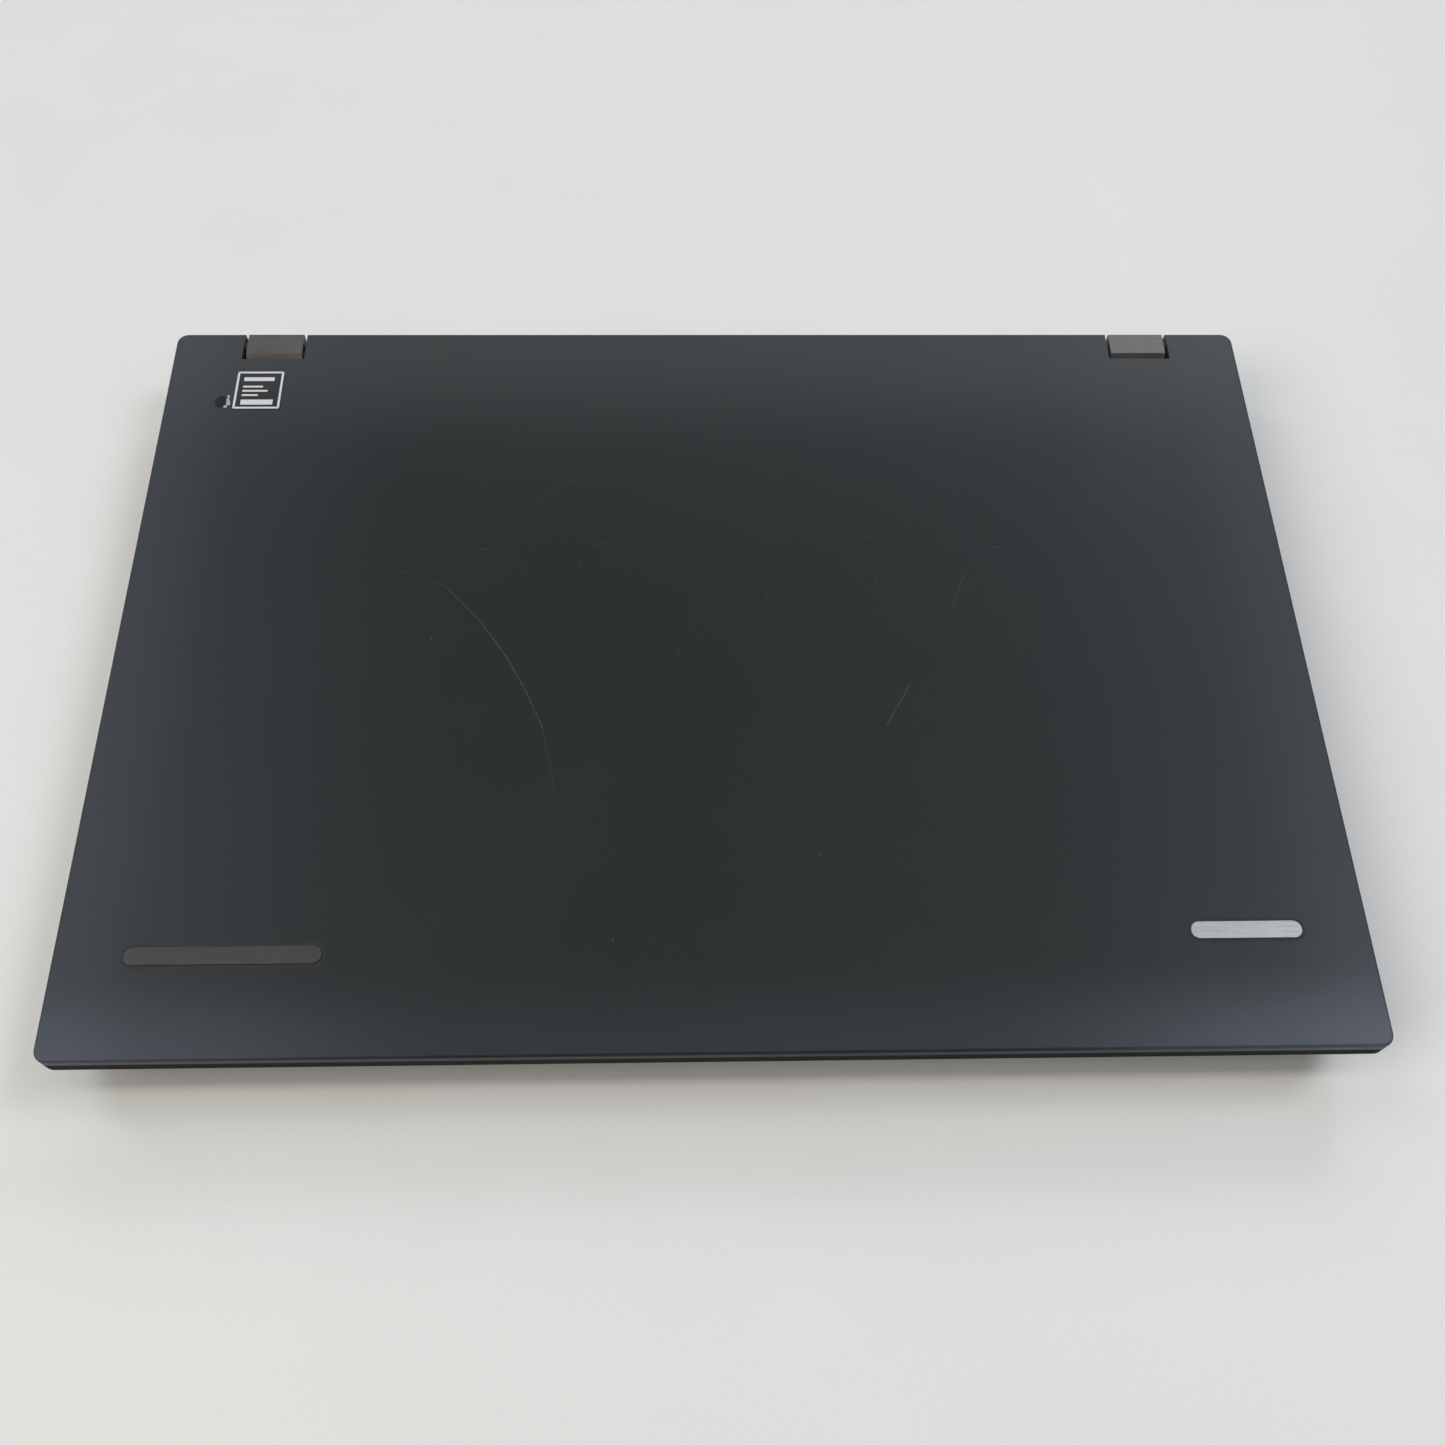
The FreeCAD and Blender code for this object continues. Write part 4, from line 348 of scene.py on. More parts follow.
def lid_paint():
    """Graphite paint with a soft bite, rubbed edges, fine scratches and pale specks, with painted
    reflections and sheen towards its sides, rear and front corners, and painted shade on the lower
    part of its walls.
    """
    material, tree, shader, place = start_finish("graphite_lid_paint")
    shader.inputs["Specular IOR Level"].default_value = 0.32
    made = use_group(
        tree, MOULDED, place=place, colour=(0.0066, 0.0098, 0.0094, 1.0), grain=1500.0,
        tone=0.12, roughness=0.48, smear=0.02,
    )
    rub_and_wall_shade = use_group(
        tree, EDGE_RUB_AND_WALL_SHADE, place=place, half_width=LID_HALF_WIDTH * MM,
        half_depth=LID_HALF_DEPTH * MM, top=LID_TOP * MM, reach=1.2 * MM,
    )
    flat = along(tree, "MULTIPLY", place, (1.0, 1.0, 0.0))
    marks = lid_scratches(tree, flat)
    scuffs = reckon(tree, "MULTIPLY", rub_and_wall_shade["Mask"], 0.03)
    specks = reckon(tree, "MAXIMUM", scuffs, lid_dust(tree, flat))
    pale = reckon(tree, "MAXIMUM", reckon(tree, "MULTIPLY", marks, 0.11), specks)
    # the paint's colour with its painted reflections and painted sheen
    rubbed = lid_painted_sheen(tree, place, made["Colour"])
    # painted shade: the lower part of the lid's walls is turned nearly black
    with_painted_wall_shade = blend_colours(tree, rub_and_wall_shade["Shaded Wall"], rubbed, (0.0016, 0.0020, 0.0024, 1.0))
    colour = blend_colours(tree, pale, with_painted_wall_shade, (0.40, 0.41, 0.41, 1.0))
    tree.links.new(colour, shader.inputs["Base Color"])
    duller = reckon(tree, "MULTIPLY_ADD", rub_and_wall_shade["Shaded Wall"], 0.4, made["Roughness"])
    tree.links.new(duller, shader.inputs["Roughness"])
    groove = reckon(tree, "MULTIPLY", marks, 0.6)
    roughen(tree, shader, reckon(tree, "SUBTRACT", made["Height"], groove), 0.05 * MM)
    return material


PICTURE_HALF_WIDTH, PICTURE_HALF_HEIGHT, PICTURE_Y = 154.3, 86.6, -9.45


def screen_film():
    """The matte dark film of the display, with a black rim round the picture area."""
    material, tree, shader, place = start_finish("matte_screen")
    made = use_group(
        tree, MOULDED, place=place, colour=(0.012, 0.013, 0.016, 1.0), grain=6000.0, tone=0.08,
        roughness=0.30, smear=0.012,
    )
    middle = along(tree, "ADD", place, (0.0, -PICTURE_Y * MM, 0.0))
    spread = put(tree, "ShaderNodeSeparateXYZ", {0: along(tree, "ABSOLUTE", middle)}).outputs
    over_side = reckon(tree, "SUBTRACT", spread["X"], PICTURE_HALF_WIDTH * MM)
    over_end = reckon(tree, "SUBTRACT", spread["Y"], PICTURE_HALF_HEIGHT * MM)
    rim = reckon(tree, "GREATER_THAN", reckon(tree, "MAXIMUM", over_side, over_end), 0.0)
    colour = blend_colours(tree, rim, made["Colour"], (0.002, 0.002, 0.002, 1.0))
    tree.links.new(colour, shader.inputs["Base Color"])
    tree.links.new(made["Roughness"], shader.inputs["Roughness"])
    roughen(tree, shader, made["Height"], 0.004 * MM)
    return material


def circuit_board():
    """Green lacquer over copper tracks, with bare pads."""
    material, tree, shader, place = start_finish("circuit_board")
    made = use_group(
        tree, MOULDED, place=place, colour=(0.012, 0.060, 0.030, 1.0), grain=3000.0, tone=0.2,
        roughness=0.38, smear=0.06,
    )
    inputs = {"Vector": place, "Scale": 260.0}
    cell = put(tree, "ShaderNodeTexVoronoi", inputs, distance="MANHATTAN", feature="F1").outputs
    tracks = ramp(tree, reckon(tree, "PINGPONG", cell["Distance"], 0.16), 0.05, 0.08)
    raised = blend_colours(
        tree, reckon(tree, "MULTIPLY", tracks, 0.6), made["Colour"], (0.035, 0.16, 0.07, 1.0),
    )
    pads = ramp(tree, cell["Distance"], 0.07, 0.10, 1.0, 0.0)
    colour = blend_colours(tree, pads, raised, (0.62, 0.55, 0.36, 1.0))
    tree.links.new(colour, shader.inputs["Base Color"])
    tree.links.new(made["Roughness"], shader.inputs["Roughness"])
    tree.links.new(pads, shader.inputs["Metallic"])
    roughen(tree, shader, tracks, 0.03 * MM)
    return material


def pad_surface():
    """The touchpad's fine dimpled film, rubbed smoother in its middle."""
    material, tree, shader, place = start_finish("touchpad_film")
    made = use_group(
        tree, MOULDED, place=place, colour=(0.022, 0.023, 0.024, 1.0), grain=2200.0, tone=0.1,
        roughness=0.5, smear=0.04,
    )
    dots = put(tree, "ShaderNodeTexVoronoi", {"Vector": place, "Scale": 900.0}).outputs["Distance"]
    reach = measure(tree, "LENGTH", along(tree, "ADD", place, (0.0, 60.0 * MM, -19.0 * MM)))
    rubbed = ramp(tree, reach, 8.0 * MM, 46.0 * MM, -0.06, 0.0)
    tree.links.new(made["Colour"], shader.inputs["Base Color"])
    tree.links.new(reckon(tree, "ADD", made["Roughness"], rubbed), shader.inputs["Roughness"])
    roughen(tree, shader, dots, 0.04 * MM)
    return material


def key_plastic():
    """Key plastic with a soft bite, polished by fingers in the middle of the letter rows."""
    material, tree, shader, place = start_finish("key_plastic")
    made = use_group(
        tree, MOULDED, place=place, colour=(0.014, 0.014, 0.015, 1.0), grain=3000.0, tone=0.14,
        roughness=0.52, smear=0.04,
    )
    reach = measure(tree, "LENGTH", along(tree, "MULTIPLY", place, (0.45, 1.0, 0.0)))
    polish = ramp(tree, reach, 20.0 * MM, 62.0 * MM, -0.12, 0.0)
    tree.links.new(made["Colour"], shader.inputs["Base Color"])
    tree.links.new(reckon(tree, "ADD", made["Roughness"], polish), shader.inputs["Roughness"])
    roughen(tree, shader, made["Height"], 0.014 * MM)
    return material


FINISH = {
    "lid_graphite": lid_paint(),
    "deck_graphite": plastic("graphite_deck", (0.023, 0.024, 0.025), 0.5, 1700.0, 0.035 * MM),
    "shell_black": plastic("black_shell", (0.017, 0.017, 0.018), 0.56, 1100.0, 0.07 * MM),
    "bezel_black": plastic("black_bezel", (0.015, 0.015, 0.016), 0.52, 1600.0, 0.04 * MM),
    "screen": screen_film(),
    "camera": plastic("camera_window", (0.004, 0.004, 0.006), 0.12, 900.0, 0.002 * MM),
    "rubber": plastic("black_rubber", (0.019, 0.019, 0.019), 0.82, 1300.0, 0.09 * MM),
    "hinge_metal": metal("satin_hinge_metal", (0.150, 0.142, 0.137), 0.46),
    "steel": metal("bright_steel", (0.55, 0.55, 0.56), 0.28),
    "cable": plastic("cable_sleeve", (0.015, 0.015, 0.016), 0.6, 1800.0, 0.08 * MM),
    "key_black": key_plastic(),
    "plate_metal": metal("rolled_plate", (0.33, 0.33, 0.34), 0.45),
    "pad_surface": pad_surface(),
    "board": circuit_board(),
    "chip": plastic("chip_package", (0.035, 0.035, 0.038), 0.35, 2400.0, 0.01 * MM),
    "copper": metal("copper_pipe", (0.72, 0.36, 0.20), 0.32),
    "fins": metal("thin_fins", (0.62, 0.62, 0.63), 0.36, 4200.0),
    "fan_plastic": plastic("fan_plastic", (0.022, 0.022, 0.024), 0.46, 1500.0),
    "drive_metal": metal("galvanised_sheet", (0.46, 0.47, 0.48), 0.4, 900.0),
    "tray_plastic": plastic("tray_plastic", (0.028, 0.028, 0.030), 0.42, 1500.0),
    "battery_black": plastic("battery_plastic", (0.019, 0.019, 0.020), 0.58, 1000.0, 0.07 * MM),
    "socket_black": plastic("socket_plastic", (0.010, 0.010, 0.011), 0.4, 2000.0, 0.02 * MM),
}
LEGEND_WHITE = plastic("legend_white", (0.62, 0.62, 0.60), 0.5, 2000.0, 0.01 * MM, 0.06)
LABEL_INK = plastic("label_black", (0.016, 0.016, 0.018), 0.3, 1400.0, 0.01 * MM, 0.15)
LABEL_WHITE = plastic("label_white", (0.60, 0.61, 0.61), 0.4, 1400.0, 0.01 * MM, 0.10)
GLUE = plastic("old_glue", (0.003, 0.003, 0.004), 0.75, 1900.0, 0.12 * MM, 0.3)
PAPER = plastic("torn_paper", (0.34, 0.35, 0.35), 0.8, 1500.0, 0.10 * MM, 0.3)
DARK_CHROME = metal("dark_chrome", (0.075, 0.071, 0.067), 0.5, 3000.0)
SILVER = metal("satin_silver", (0.36, 0.36, 0.36), 0.45, 3000.0)
# black that paints the shade in the grooves round the lid's trim bars
PAINTED_GROOVE_SHADE = plastic("painted_groove_shade", (0.004, 0.004, 0.004), 0.6, 1600.0)
VIDEO_BLUE = plastic("video_blue", (0.012, 0.030, 0.110), 0.45, 1800.0, 0.02 * MM)
OILED_STEEL = metal("oiled_steel", (0.045, 0.044, 0.043), 0.5)
GOLD = metal("gold_contact", (0.85, 0.60, 0.22), 0.25)

for name, node in nodes.items():
    within = name.endswith(("hinge_arm", "hinge_shaft", "hinge_washers"))
    node.data.materials.clear()
    node.data.materials.append(OILED_STEEL if within else FINISH[SLOT_OF[name]])


# Making pieces

def finish_piece(name, work, finish, body, stands_for=(), crease=35.0):
    """Turn a bmesh into a smooth shaded piece that rides on a body."""
    mesh = bpy.data.meshes.new(name)
    work.to_mesh(mesh)
    work.free()
    mesh.shade_smooth()
    mesh.set_sharp_from_angle(angle=math.radians(crease))
    mesh.materials.append(finish)
    piece = bpy.data.objects.new(name, mesh)
    scene.collection.objects.link(piece)
    piece.modifiers.new("flat_faces", "WEIGHTED_NORMAL").keep_sharp = True
    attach(piece, body)
    for node in stands_for:
        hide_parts(node)
    return piece


def body_of(node):
    """The body that carries a node."""
    for body, carried in frame["record"]["behaviour"]["bodies"].items():
        if node in carried:
            return body


def merged_copy(node):
    """A node's mesh with its loose triangles joined into whole faces."""
    work = bmesh.new()
    work.from_mesh(nodes[node].data)
    bmesh.ops.remove_doubles(work, verts=work.verts, dist=0.002 * MM)
    bmesh.ops.dissolve_limit(
        work, angle_limit=math.radians(0.4), verts=work.verts, edges=work.edges,
    )
    return work


def round_edges(work, edges, radius, segments):
    bmesh.ops.bevel(
        work, geom=edges, offset=radius, offset_type="OFFSET", segments=segments, profile=0.5,
        affect="EDGES", clamp_overlap=True, material=-1,
    )


def soften(work, width, sharp=42.0, segments=2):
    """Round every sharp edge by a small radius."""
    limit = math.radians(sharp)
    edges = [e for e in work.edges if len(e.link_faces) == 2 and e.calc_face_angle() > limit]
    round_edges(work, edges, width, segments)


def softened_node(node, width, segments=2):
    """A copy of a node with small radii on its edges, which stands for it."""
    work = merged_copy(node)
    soften(work, width, segments=segments)
    slot = SLOT_OF[node]
    return finish_piece(node + "_softened", work, FINISH[slot], body_of(node), [node])


def block(low, high, turn=0.0):
    """A bmesh box between two corners in millimetres, turned about its own upright axis."""
    work = bmesh.new()
    middle = (Vector(low) + Vector(high)) / 2 * MM
    size = (Vector(high) - Vector(low)) * MM
    place = Matrix.Translation(middle) @ Matrix.Rotation(turn, 4, "Z") @ Matrix.Diagonal((*size, 1))
    bmesh.ops.create_cube(work, size=1.0, matrix=place)
    return work


def upright_edges(work):
    """The edges of a bmesh that run along Z."""
    found = []
    for edge in work.edges:
        run = edge.verts[0].co - edge.verts[1].co
        if abs(run.z) > 0.99 * run.length:
            found.append(edge)
    return found


def round_corners(work, radius, segments=6):
    round_edges(work, upright_edges(work), radius, segments)


def top_face(work):
    return max(work.faces, key=lambda face: face.calc_center_median().z)


def join(works):
    """Several bmeshes as one."""
    whole = bmesh.new()
    for work in works:
        carrier = bpy.data.meshes.new("carrier")
        work.to_mesh(carrier)
        work.free()
        whole.from_mesh(carrier)
        bpy.data.meshes.remove(carrier)
    return whole


def carve(work, tool):
    """The first shape less the second."""
    holders = []
    for part in (work, tool):
        mesh = bpy.data.meshes.new("carrier")
        part.to_mesh(mesh)
        part.free()
        holder = bpy.data.objects.new("carrier", mesh)
        scene.collection.objects.link(holder)
        holders.append(holder)
    cutting = holders[0].modifiers.new("cut", "BOOLEAN")
    cutting.operation = "DIFFERENCE"
    cutting.solver = "EXACT"
    cutting.object = holders[1]
    shown = holders[0].evaluated_get(bpy.context.evaluated_depsgraph_get())
    result = bmesh.new()
    result.from_mesh(shown.to_mesh())
    shown.to_mesh_clear()
    for holder in holders:
        mesh = holder.data
        bpy.data.objects.remove(holder)
        bpy.data.meshes.remove(mesh)
    return result


# Lid

def dress_lid():
    softened_node("lid_cover", 0.25 * MM)
    softened_node("lid_bezel", 0.15 * MM)
    for side in ("left", "right"):
        softened_node(side + "_hinge_block", 0.3 * MM, segments=3)


def lid_block(low, high, thick, turn=0.0, lift=0.0):
    """A thin block on top of the lid, or lifted a little from it."""
    return block((*low, LID_TOP + lift), (*high, LID_TOP + thick), turn)


def lid_plate(name, low, high, thick, radius, finish, rim=0.0):
    """A thin plate on top of the lid, with rounded corners and a softened upper rim."""
    work = lid_block(low, high, thick)
    round_corners(work, radius * MM)
    if rim:
        round_edges(work, list(top_face(work).edges), rim * MM, 3)
    return finish_piece(name, work, finish, "lid")


STICKER_LEFT, STICKER_RIGHT, STICKER_LOW, STICKER_HIGH = -148.6, -133.5, 86.5, 102.0
STICKER_EDGE, STICKER_FRAME, STICKER_MARGIN = 0.35, 0.7, 2.6
STICKER_FILM, STICKER_INK = 0.08, 0.1
STICKER_LINES = ((98.6, 9.4, 1.5), (95.6, 6.2, 0.7), (93.9, 7.8, 0.7), (92.2, 5.0, 0.7))


def sticker():
    """A small square sticker: black film with a white frame and plain bars."""
    left, right, low, high = STICKER_LEFT, STICKER_RIGHT, STICKER_LOW, STICKER_HIGH
    lid_plate("sticker_film", (left, low), (right, high), STICKER_FILM, 0.6, LABEL_INK)
    inner_low = (left + STICKER_EDGE, low + STICKER_EDGE)
    inner_high = (right - STICKER_EDGE, high - STICKER_EDGE)
    work = lid_block(inner_low, inner_high, STICKER_INK, lift=0.06)
    round_corners(work, 0.5 * MM)
    face = top_face(work)
    bmesh.ops.inset_region(work, faces=[face], thickness=STICKER_FRAME * MM)
    bmesh.ops.delete(work, geom=[face], context="FACES_ONLY")
    finish_piece("sticker_frame", work, LABEL_WHITE, "lid")
    start = left + STICKER_MARGIN
    bars = []
    for place, length, tall in STICKER_LINES:
        bar_high = (start + length, place + tall / 2)
        bars.append(lid_block((start, place - tall / 2), bar_high, STICKER_INK, lift=0.07))
    bars.append(lid_block((start, 88.4), (right - STICKER_MARGIN, 90.4), STICKER_INK, lift=0.07))
    finish_piece("sticker_bars", join(bars), LABEL_WHITE, "lid")


GLUE_PLACE = (-152.0, 89.6, LID_TOP + 0.03)


def torn_scrap():
    """What is left of an older sticker: a dark patch of glue and a flake of paper."""
    work = bmesh.new()
    oval = Matrix.Diagonal((1.0, 1.25, 1.0, 1.0))
    bmesh.ops.create_cone(
        work, cap_ends=True, segments=20, radius1=2.0 * MM, radius2=1.7 * MM, depth=0.08 * MM,
        matrix=Matrix.Translation(Vector(GLUE_PLACE) * MM) @ oval,
    )
    finish_piece("glue_patch", work, GLUE, "lid")
    flakes = [
        lid_block((-150.6, 88.2), (-149.3, 90.9), 0.07, 0.3),
        lid_block((-151.1, 87.2), (-150.0, 88.2), 0.06, -0.5),
        lid_block((-150.3, 91.0), (-149.6, 92.2), 0.06, 0.2),
    ]
    for flake in flakes:
        round_corners(flake, 0.25 * MM, 2)
    finish_piece("paper_flakes", join(flakes), PAPER, "lid")


def lid_inlays():
    """Plain bars in the two places that the lid has for trim, each on a black plate a little larger
    than the bar, which paints the shade of the groove round it.
    """
    # each groove is a flat black plate under its bar, which paints the groove's shade
    lid_plate("left_inlay_painted_groove_shade", (-152.2, -93.8), (-100.4, -87.2), 0.04, 3.2, PAINTED_GROOVE_SHADE)
    lid_plate("left_inlay_bar", (-151.4, -93.0), (-101.2, -88.0), 0.3, 2.4, DARK_CHROME, rim=0.2)
    lid_plate("right_inlay_painted_groove_shade", (121.6, -89.6), (152.4, -83.2), 0.04, 3.1, PAINTED_GROOVE_SHADE)
    lid_plate("right_inlay_bar", (122.4, -88.8), (151.6, -84.0), 0.3, 2.3, SILVER, rim=0.2)


# Keyboard

UNIT, ROW, FUNCTION_ROW, GAP = 19.0, 18.6, 12.8, 3.0
FIRST_X, FIRST_Y = -142.5, -12.0
KEY_BASE, KEY_TOP = 16.5, 18.9
KEY_CORNER, KEY_SLOPE, KEY_RIM = 1.5, 0.38, 0.4
KEY_DISH = ((1.3, 0.05), (1.5, 0.08), (1.5, 0.05))  # steps inwards, each with its drop
FULL_ROWS = {
    "number_row_keys": (4, [(0, 1, 13), (13, 2, 1)]),
    "top_letter_keys": (3, [(0, 1.5, 1), (1.5, 1, 12), (13.5, 1.5, 1)]),
    "home_letter_keys": (2, [(0, 1.75, 1), (1.75, 1, 11), (12.75, 2.25, 1)]),
    "lower_letter_keys": (1, [(0, 2.25, 1), (2.25, 1, 10), (12.25, 2.75, 1)]),
    "modifier_keys": (0, [(0, 1, 4), (9, 1, 3)]),
    "space_bar": (0, [(4, 5, 1)]),
}
FUNCTION_KEYS = 17
STICK_X, STICK_Y, STICK_ROOM = FIRST_X + 6.75 * UNIT, FIRST_Y + 2 * ROW, 3.95


def key_outlines():
    """Each row's keys as left, right, front and rear edges."""
    rows = {}
    for name, (row, groups) in FULL_ROWS.items():
        low = FIRST_Y + row * ROW + GAP / 2
        high = low + ROW - GAP
        rows[name] = []
        for start, width, count in groups:
            for place in range(count):
                left = FIRST_X + (start + place) * UNIT + GAP / 2
                rows[name].append((left, left + width * UNIT - GAP, low, high))
    step = 15 * UNIT / FUNCTION_KEYS
    low = FIRST_Y + 5 * ROW + GAP / 2
    lefts = [FIRST_X + GAP / 2 + place * step for place in range(FUNCTION_KEYS)]
    high = low + FUNCTION_ROW - GAP
    rows["function_row_keys"] = [(left, left + step - GAP, low, high) for left in lefts]
    rows["arrow_keys"] = []
    for half in (0, 1):
        low = FIRST_Y + half * ROW / 2 + GAP / 2
        for place in range(3):
            left = FIRST_X + (12 + place) * UNIT + GAP / 2
            rows["arrow_keys"].append((left, left + UNIT - GAP, low, low + ROW / 2 - GAP))
    return rows


def step_in(work, face, step, drop):
    """Draw a face in by an even step on all sides and lower it, in millimetres."""
    bmesh.ops.inset_region(work, faces=[face], thickness=0.0)
    middle = face.calc_center_bounds()
    spans = [max(vert.co[axis] for vert in face.verts) - middle[axis] for axis in (0, 1)]
    shrink = Vector([(span - step * MM) / span for span in spans] + [1.0])
    bmesh.ops.scale(work, vec=shrink, space=Matrix.Translation(-middle), verts=face.verts)
    bmesh.ops.translate(work, vec=(0.0, 0.0, -drop * MM), verts=face.verts)


def keycap(left, right, low, high):
    """A keycap with rounded corners, sloped sides, a soft rim and a shallow dish."""
    work = block((left, low, KEY_BASE), (right, high, KEY_TOP))
    round_corners(work, KEY_CORNER * MM, 4)
    face = top_face(work)
    draw_in = 2 * KEY_SLOPE
    shrink = Vector((1 - draw_in / (right - left), 1 - draw_in / (high - low), 1.0))
    middle = Matrix.Translation(-face.calc_center_bounds())
    bmesh.ops.scale(work, vec=shrink, space=middle, verts=face.verts)
    round_edges(work, list(face.edges), KEY_RIM * MM, 3)
    face = top_face(work)
    for step, drop in KEY_DISH:
        step_in(work, face, step, drop)
    return work


def keyboard():
    for row, outlines in key_outlines().items():
        work = join([keycap(*outline) for outline in outlines])
        if row in ("home_letter_keys", "lower_letter_keys"):
            tool = bmesh.new()
            bmesh.ops.create_cone(
                tool, cap_ends=True, segments=40, radius1=STICK_ROOM * MM, radius2=STICK_ROOM * MM,
                depth=8 * MM,
                matrix=Matrix.Translation(Vector((STICK_X, STICK_Y, KEY_TOP)) * MM),
            )
            work = carve(work, tool)
        black = FINISH["key_black"]
        finish_piece(row + "_caps", work, black, body_of(row), [row], 40.0)


LEGENDS = {
    "number_row_keys": ["`", "1", "2", "3", "4", "5", "6", "7", "8", "9", "0", "-", "=", "<"],
    "top_letter_keys": [">", "Q", "W", "E", "R", "T", "Y", "U", "I", "O", "P", "[", "]", "\\"],
    "home_letter_keys": ["", "A", "S", "D", "F", "G", "H", "J", "K", "L", ";", "'", ""],
    "lower_letter_keys": ["", "Z", "X", "C", "V", "B", "N", "M", ",", ".", "/", ""],
    "function_row_keys": [""] + ["F%d" % count for count in range(1, 13)] + [""] * 4,
}
LEGEND_SIZE = {"function_row_keys": 3.0}
LEGEND_INSET, LEGEND_DROP = 2.9, 0.11


def lettering(text, size, left, rear):
    """A flat word as a bmesh, its upper left corner at a place in millimetres."""
    curve = bpy.data.curves.new("lettering", "FONT")
    curve.body = text
    curve.size = size * MM
    curve.resolution_u = 3
    curve.align_y = "TOP"
    holder = bpy.data.objects.new("lettering", curve)
    mesh = bpy.data.meshes.new_from_object(holder)
    work = bmesh.new()
    work.from_mesh(mesh)
    bpy.data.objects.remove(holder)
    bpy.data.curves.remove(curve)
    bpy.data.meshes.remove(mesh)
    place = Vector((left, rear, KEY_TOP - LEGEND_DROP)) * MM
    bmesh.ops.translate(work, vec=place, verts=work.verts)
    return work


def legends():
    rows = key_outlines()
    for row, texts in LEGENDS.items():
        size = LEGEND_SIZE.get(row, 4.4)
        words = []
        for text, (left, _, _, high) in zip(texts, rows[row]):
            if text:
                words.append(lettering(text, size, left + LEGEND_INSET, high - LEGEND_INSET))
        finish_piece(row + "_legends", join(words), LEGEND_WHITE, body_of(row))


# Sockets

USB_SOCKETS = ((-1, -34.0, 9.5), (-1, -14.0, 9.5), (1, 67.0, 7.2))  # side, place, height
TONGUE_BACK, TONGUE_FRONT, TONGUE_HALF_WIDTH = 151.6, 166.6, 5.68
TONGUE_LOW, TONGUE_HIGH = -0.08, 1.88
USB_CONTACTS = (-3.5, -1.0, 1.0, 3.5)


def usb_tongues():
    """A plastic tongue with four gold contacts in each of the three sockets."""
    tongues, contacts = [], []
    for side, middle, height in USB_SOCKETS:
        back, front = sorted((side * TONGUE_BACK, side * TONGUE_FRONT))
        tongues.append(block(
            (back, middle - TONGUE_HALF_WIDTH, height + TONGUE_LOW),
            (front, middle + TONGUE_HALF_WIDTH, height + TONGUE_HIGH),
        ))
        back, front = sorted((side * 156.0, side * 166.2))
        for shift in USB_CONTACTS:
            place = middle + shift
            contacts.append(block(
                (back, place - 0.5, height - 0.16), (front, place + 0.5, height - 0.06),
            ))
    for tongue in tongues:
        soften(tongue, 0.2 * MM)
    finish_piece("usb_tongues", join(tongues), FINISH["socket_black"], "base")
    finish_piece("usb_contacts", join(contacts), GOLD, "base")


NETWORK_Y, WIRE_COUNT, WIRE_PITCH = 86.0, 8, 1.02
WIRE_BACK, WIRE_FRONT = 155.2, 164.5


def network_contacts():
    """Eight sprung gold wires in the roof of the network socket."""
    wires = []
    for count in range(WIRE_COUNT):
        place = NETWORK_Y + (count - (WIRE_COUNT - 1) / 2) * WIRE_PITCH
        wire = block((WIRE_BACK, place - 0.2, 11.2), (WIRE_FRONT, place + 0.2, 11.5))
        bmesh.ops.rotate(
            wire, cent=Vector((WIRE_FRONT, place, 11.4)) * MM, verts=wire.verts,
            matrix=Matrix.Rotation(math.radians(14.0), 3, "Y"),
        )
        wires.append(wire)
    finish_piece("network_contacts", join(wires), GOLD, "base")


VIDEO_Y, VIDEO_Z, PIN_PITCH, PIN_ROW = 13.5, 9.5, 2.3, 1.7


def video_insert():
    """The face of the video socket: a plastic core with three rows of pin holes."""
    core = block((-166.6, VIDEO_Y - 6.5, VIDEO_Z - 2.5), (-165.9, VIDEO_Y + 6.5, VIDEO_Z + 2.5))
    pins = []
    for row, shift in ((-1, 0.0), (0, -PIN_PITCH / 2), (1, 0.0)):
        for count in range(-2, 3):
            pin = bmesh.new()
            place = Vector((-166.7, VIDEO_Y + count * PIN_PITCH + shift, VIDEO_Z + row * PIN_ROW))
            bmesh.ops.create_cone(
                pin, cap_ends=True, segments=10, radius1=0.5 * MM, radius2=0.5 * MM, depth=1.0 * MM,
                matrix=Matrix.Translation(place * MM) @ Matrix.Rotation(math.pi / 2, 4, "Y"),
            )
            pins.append(pin)
    finish_piece("video_core", carve(core, join(pins)), VIDEO_BLUE, "base")


# Underside

CASE_SCREWS = ((-130.0, -86.0), (130.0, -86.0), (-119.5, 107.0), (119.5, 107.0))
CROSS_ARMS = ((1.6, 0.4), (0.4, 1.6))
CROSS_LOW, CROSS_HIGH = 1.3, 2.1


def screw_heads():
    """The screws with a cross recess in each head that shows on the underside."""
    work = merged_copy("case_screws")
    for wide, deep in CROSS_ARMS:
        slots = []
        for x, y in CASE_SCREWS:
            slots.append(block((x - wide, y - deep, CROSS_LOW), (x + wide, y + deep, CROSS_HIGH)))
        work = carve(work, join(slots))
    slot, body = SLOT_OF["case_screws"], body_of("case_screws")
    finish_piece("case_screws_cut", work, FINISH[slot], body, ["case_screws"])


SOFTENED_EDGES = {
    "top_case": 0.25, "bottom_case": 0.3, "tray_bezel": 0.25, "battery_pack": 0.4,
    "touchpad": 0.15, "power_button": 0.2, "service_door": 0.2, "battery_lock": 0.2,
    "battery_release": 0.2, "rubber_feet": 0.4, "eject_button": 0.2, "keyboard_frame": 0.1,
}


def dress_base():
    for node, width in SOFTENED_EDGES.items():
        softened_node(node, width * MM)


dress_lid()
sticker()
torn_scrap()
lid_inlays()
keyboard()
legends()
usb_tongues()
network_contacts()
video_insert()
screw_heads()
dress_base()


# Table, light and camera

TABLE_HALF = 1.3


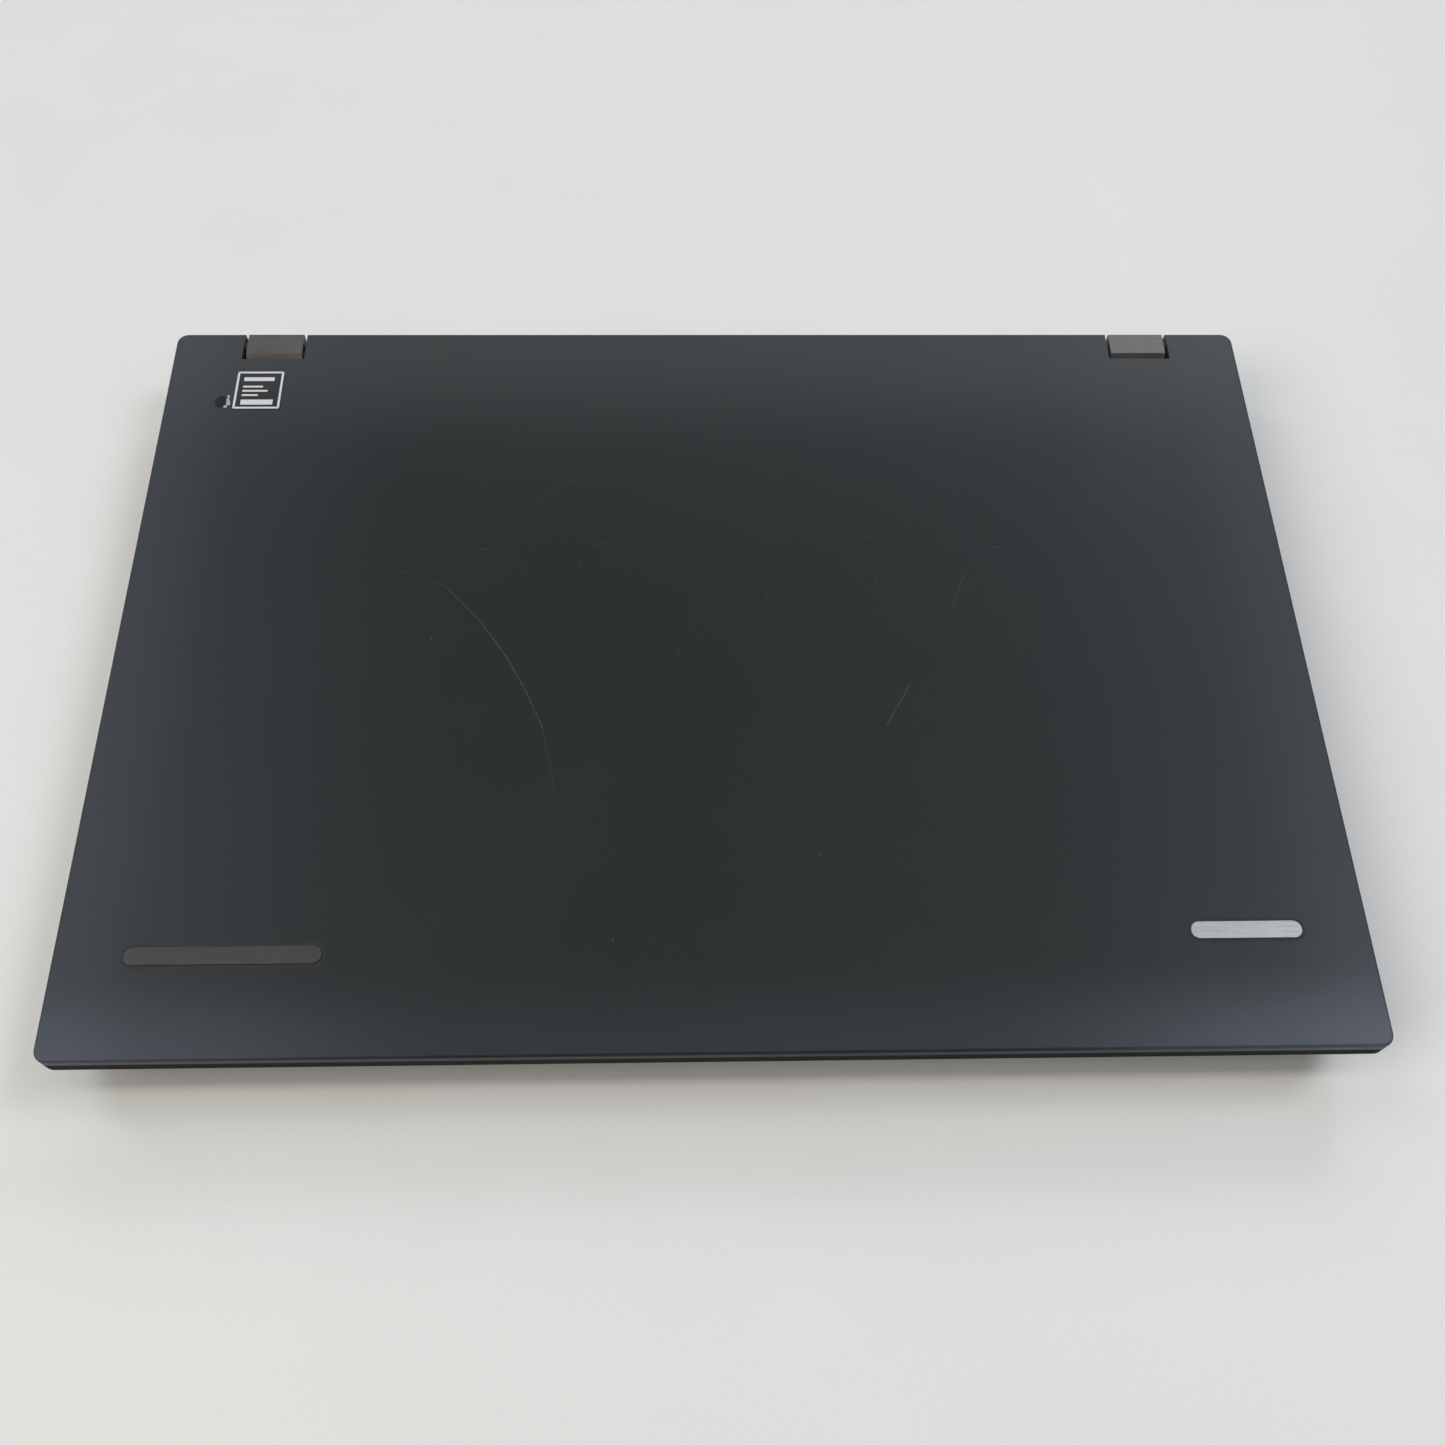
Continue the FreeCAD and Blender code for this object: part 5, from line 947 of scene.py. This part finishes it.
def table_top():
    work = bmesh.new()
    bmesh.ops.create_grid(work, x_segments=1, y_segments=1, size=TABLE_HALF)
    mesh = bpy.data.meshes.new("table_top")
    work.to_mesh(mesh)
    work.free()
    pale = plastic("pale_table", (0.75, 0.738, 0.71), 0.5, 900.0, 0.01 * MM, 0.02, 0.03)
    mesh.materials.append(pale)
    table = bpy.data.objects.new("table_top", mesh)
    scene.collection.objects.link(table)


def soft_light(name, place, aim, width, depth, power, colour):
    lamp = bpy.data.lights.new(name, "AREA")
    lamp.shape = "RECTANGLE"
    lamp.size = width
    lamp.size_y = depth
    lamp.energy = power
    lamp.color = colour
    holder = bpy.data.objects.new(name, lamp)
    holder.location = place
    toward = Vector(aim) - Vector(place)
    holder.rotation_euler = toward.to_track_quat("-Z", "Y").to_euler()
    scene.collection.objects.link(holder)


def dim_room():
    """A dim even room that looks pale beyond the table."""
    world = bpy.data.worlds.new("dim_room")
    world.use_nodes = True
    tree = world.node_tree
    dim = tree.nodes["Background"]
    dim.inputs["Color"].default_value = (0.90, 0.94, 1.0, 1.0)
    dim.inputs["Strength"].default_value = 0.03
    pale = put(tree, "ShaderNodeBackground", {"Color": (0.86, 0.87, 0.87, 1.0), "Strength": 0.8})
    seen = tree.nodes.new("ShaderNodeLightPath").outputs["Is Camera Ray"]
    inputs = {0: seen, 1: dim.outputs[0], 2: pale.outputs[0]}
    either = put(tree, "ShaderNodeMixShader", inputs)
    tree.links.new(either.outputs[0], tree.nodes["World Output"].inputs["Surface"])
    return world


def studio():
    scene.view_settings.view_transform = "Standard"
    scene.world = dim_room()
    cool, plain, warm = (0.86, 0.94, 1.06), (1.0, 1.0, 1.0), (1.03, 1.0, 0.94)
    middle = (0.0, 0.0, 0.0)
    soft_light("left_panel", (-1.25, 0.9, 1.8), middle, 0.5, 1.6, 9.4, cool)
    soft_light("right_rear_panel", (1.05, 1.8, 1.8), middle, 0.6, 0.6, 7.8, cool)
    soft_light("right_panel", (1.3, 0.25, 1.8), middle, 0.6, 0.8, 12.6, cool)
    soft_light("left_front_panel", (-1.5, -0.7, 1.5), middle, 1.2, 1.2, 21.3, warm)
    soft_light("right_front_panel", (1.5, -0.7, 1.5), middle, 1.2, 1.2, 3.8, plain)
    soft_light("rear_panel", (0.0, 2.4, 1.7), middle, 2.4, 1.0, 13.7, plain)
    soft_light("ceiling_tube", (0.0, -0.15, 2.4), (0.0, -0.15, 0.0), 3.0, 0.3, 14.2, warm)


def photo_camera():
    lens = bpy.data.cameras.new("photo_camera")
    lens.sensor_width = 36.0
    lens.lens = 36.8205
    camera = bpy.data.objects.new("photo_camera", lens)
    camera.location = (-0.008307, -0.216516, 0.388801)
    camera.rotation_euler = [math.radians(turn) for turn in (27.979, -1.0805, -1.005)]
    scene.collection.objects.link(camera)
    scene.camera = camera


table_top()
studio()
photo_camera()
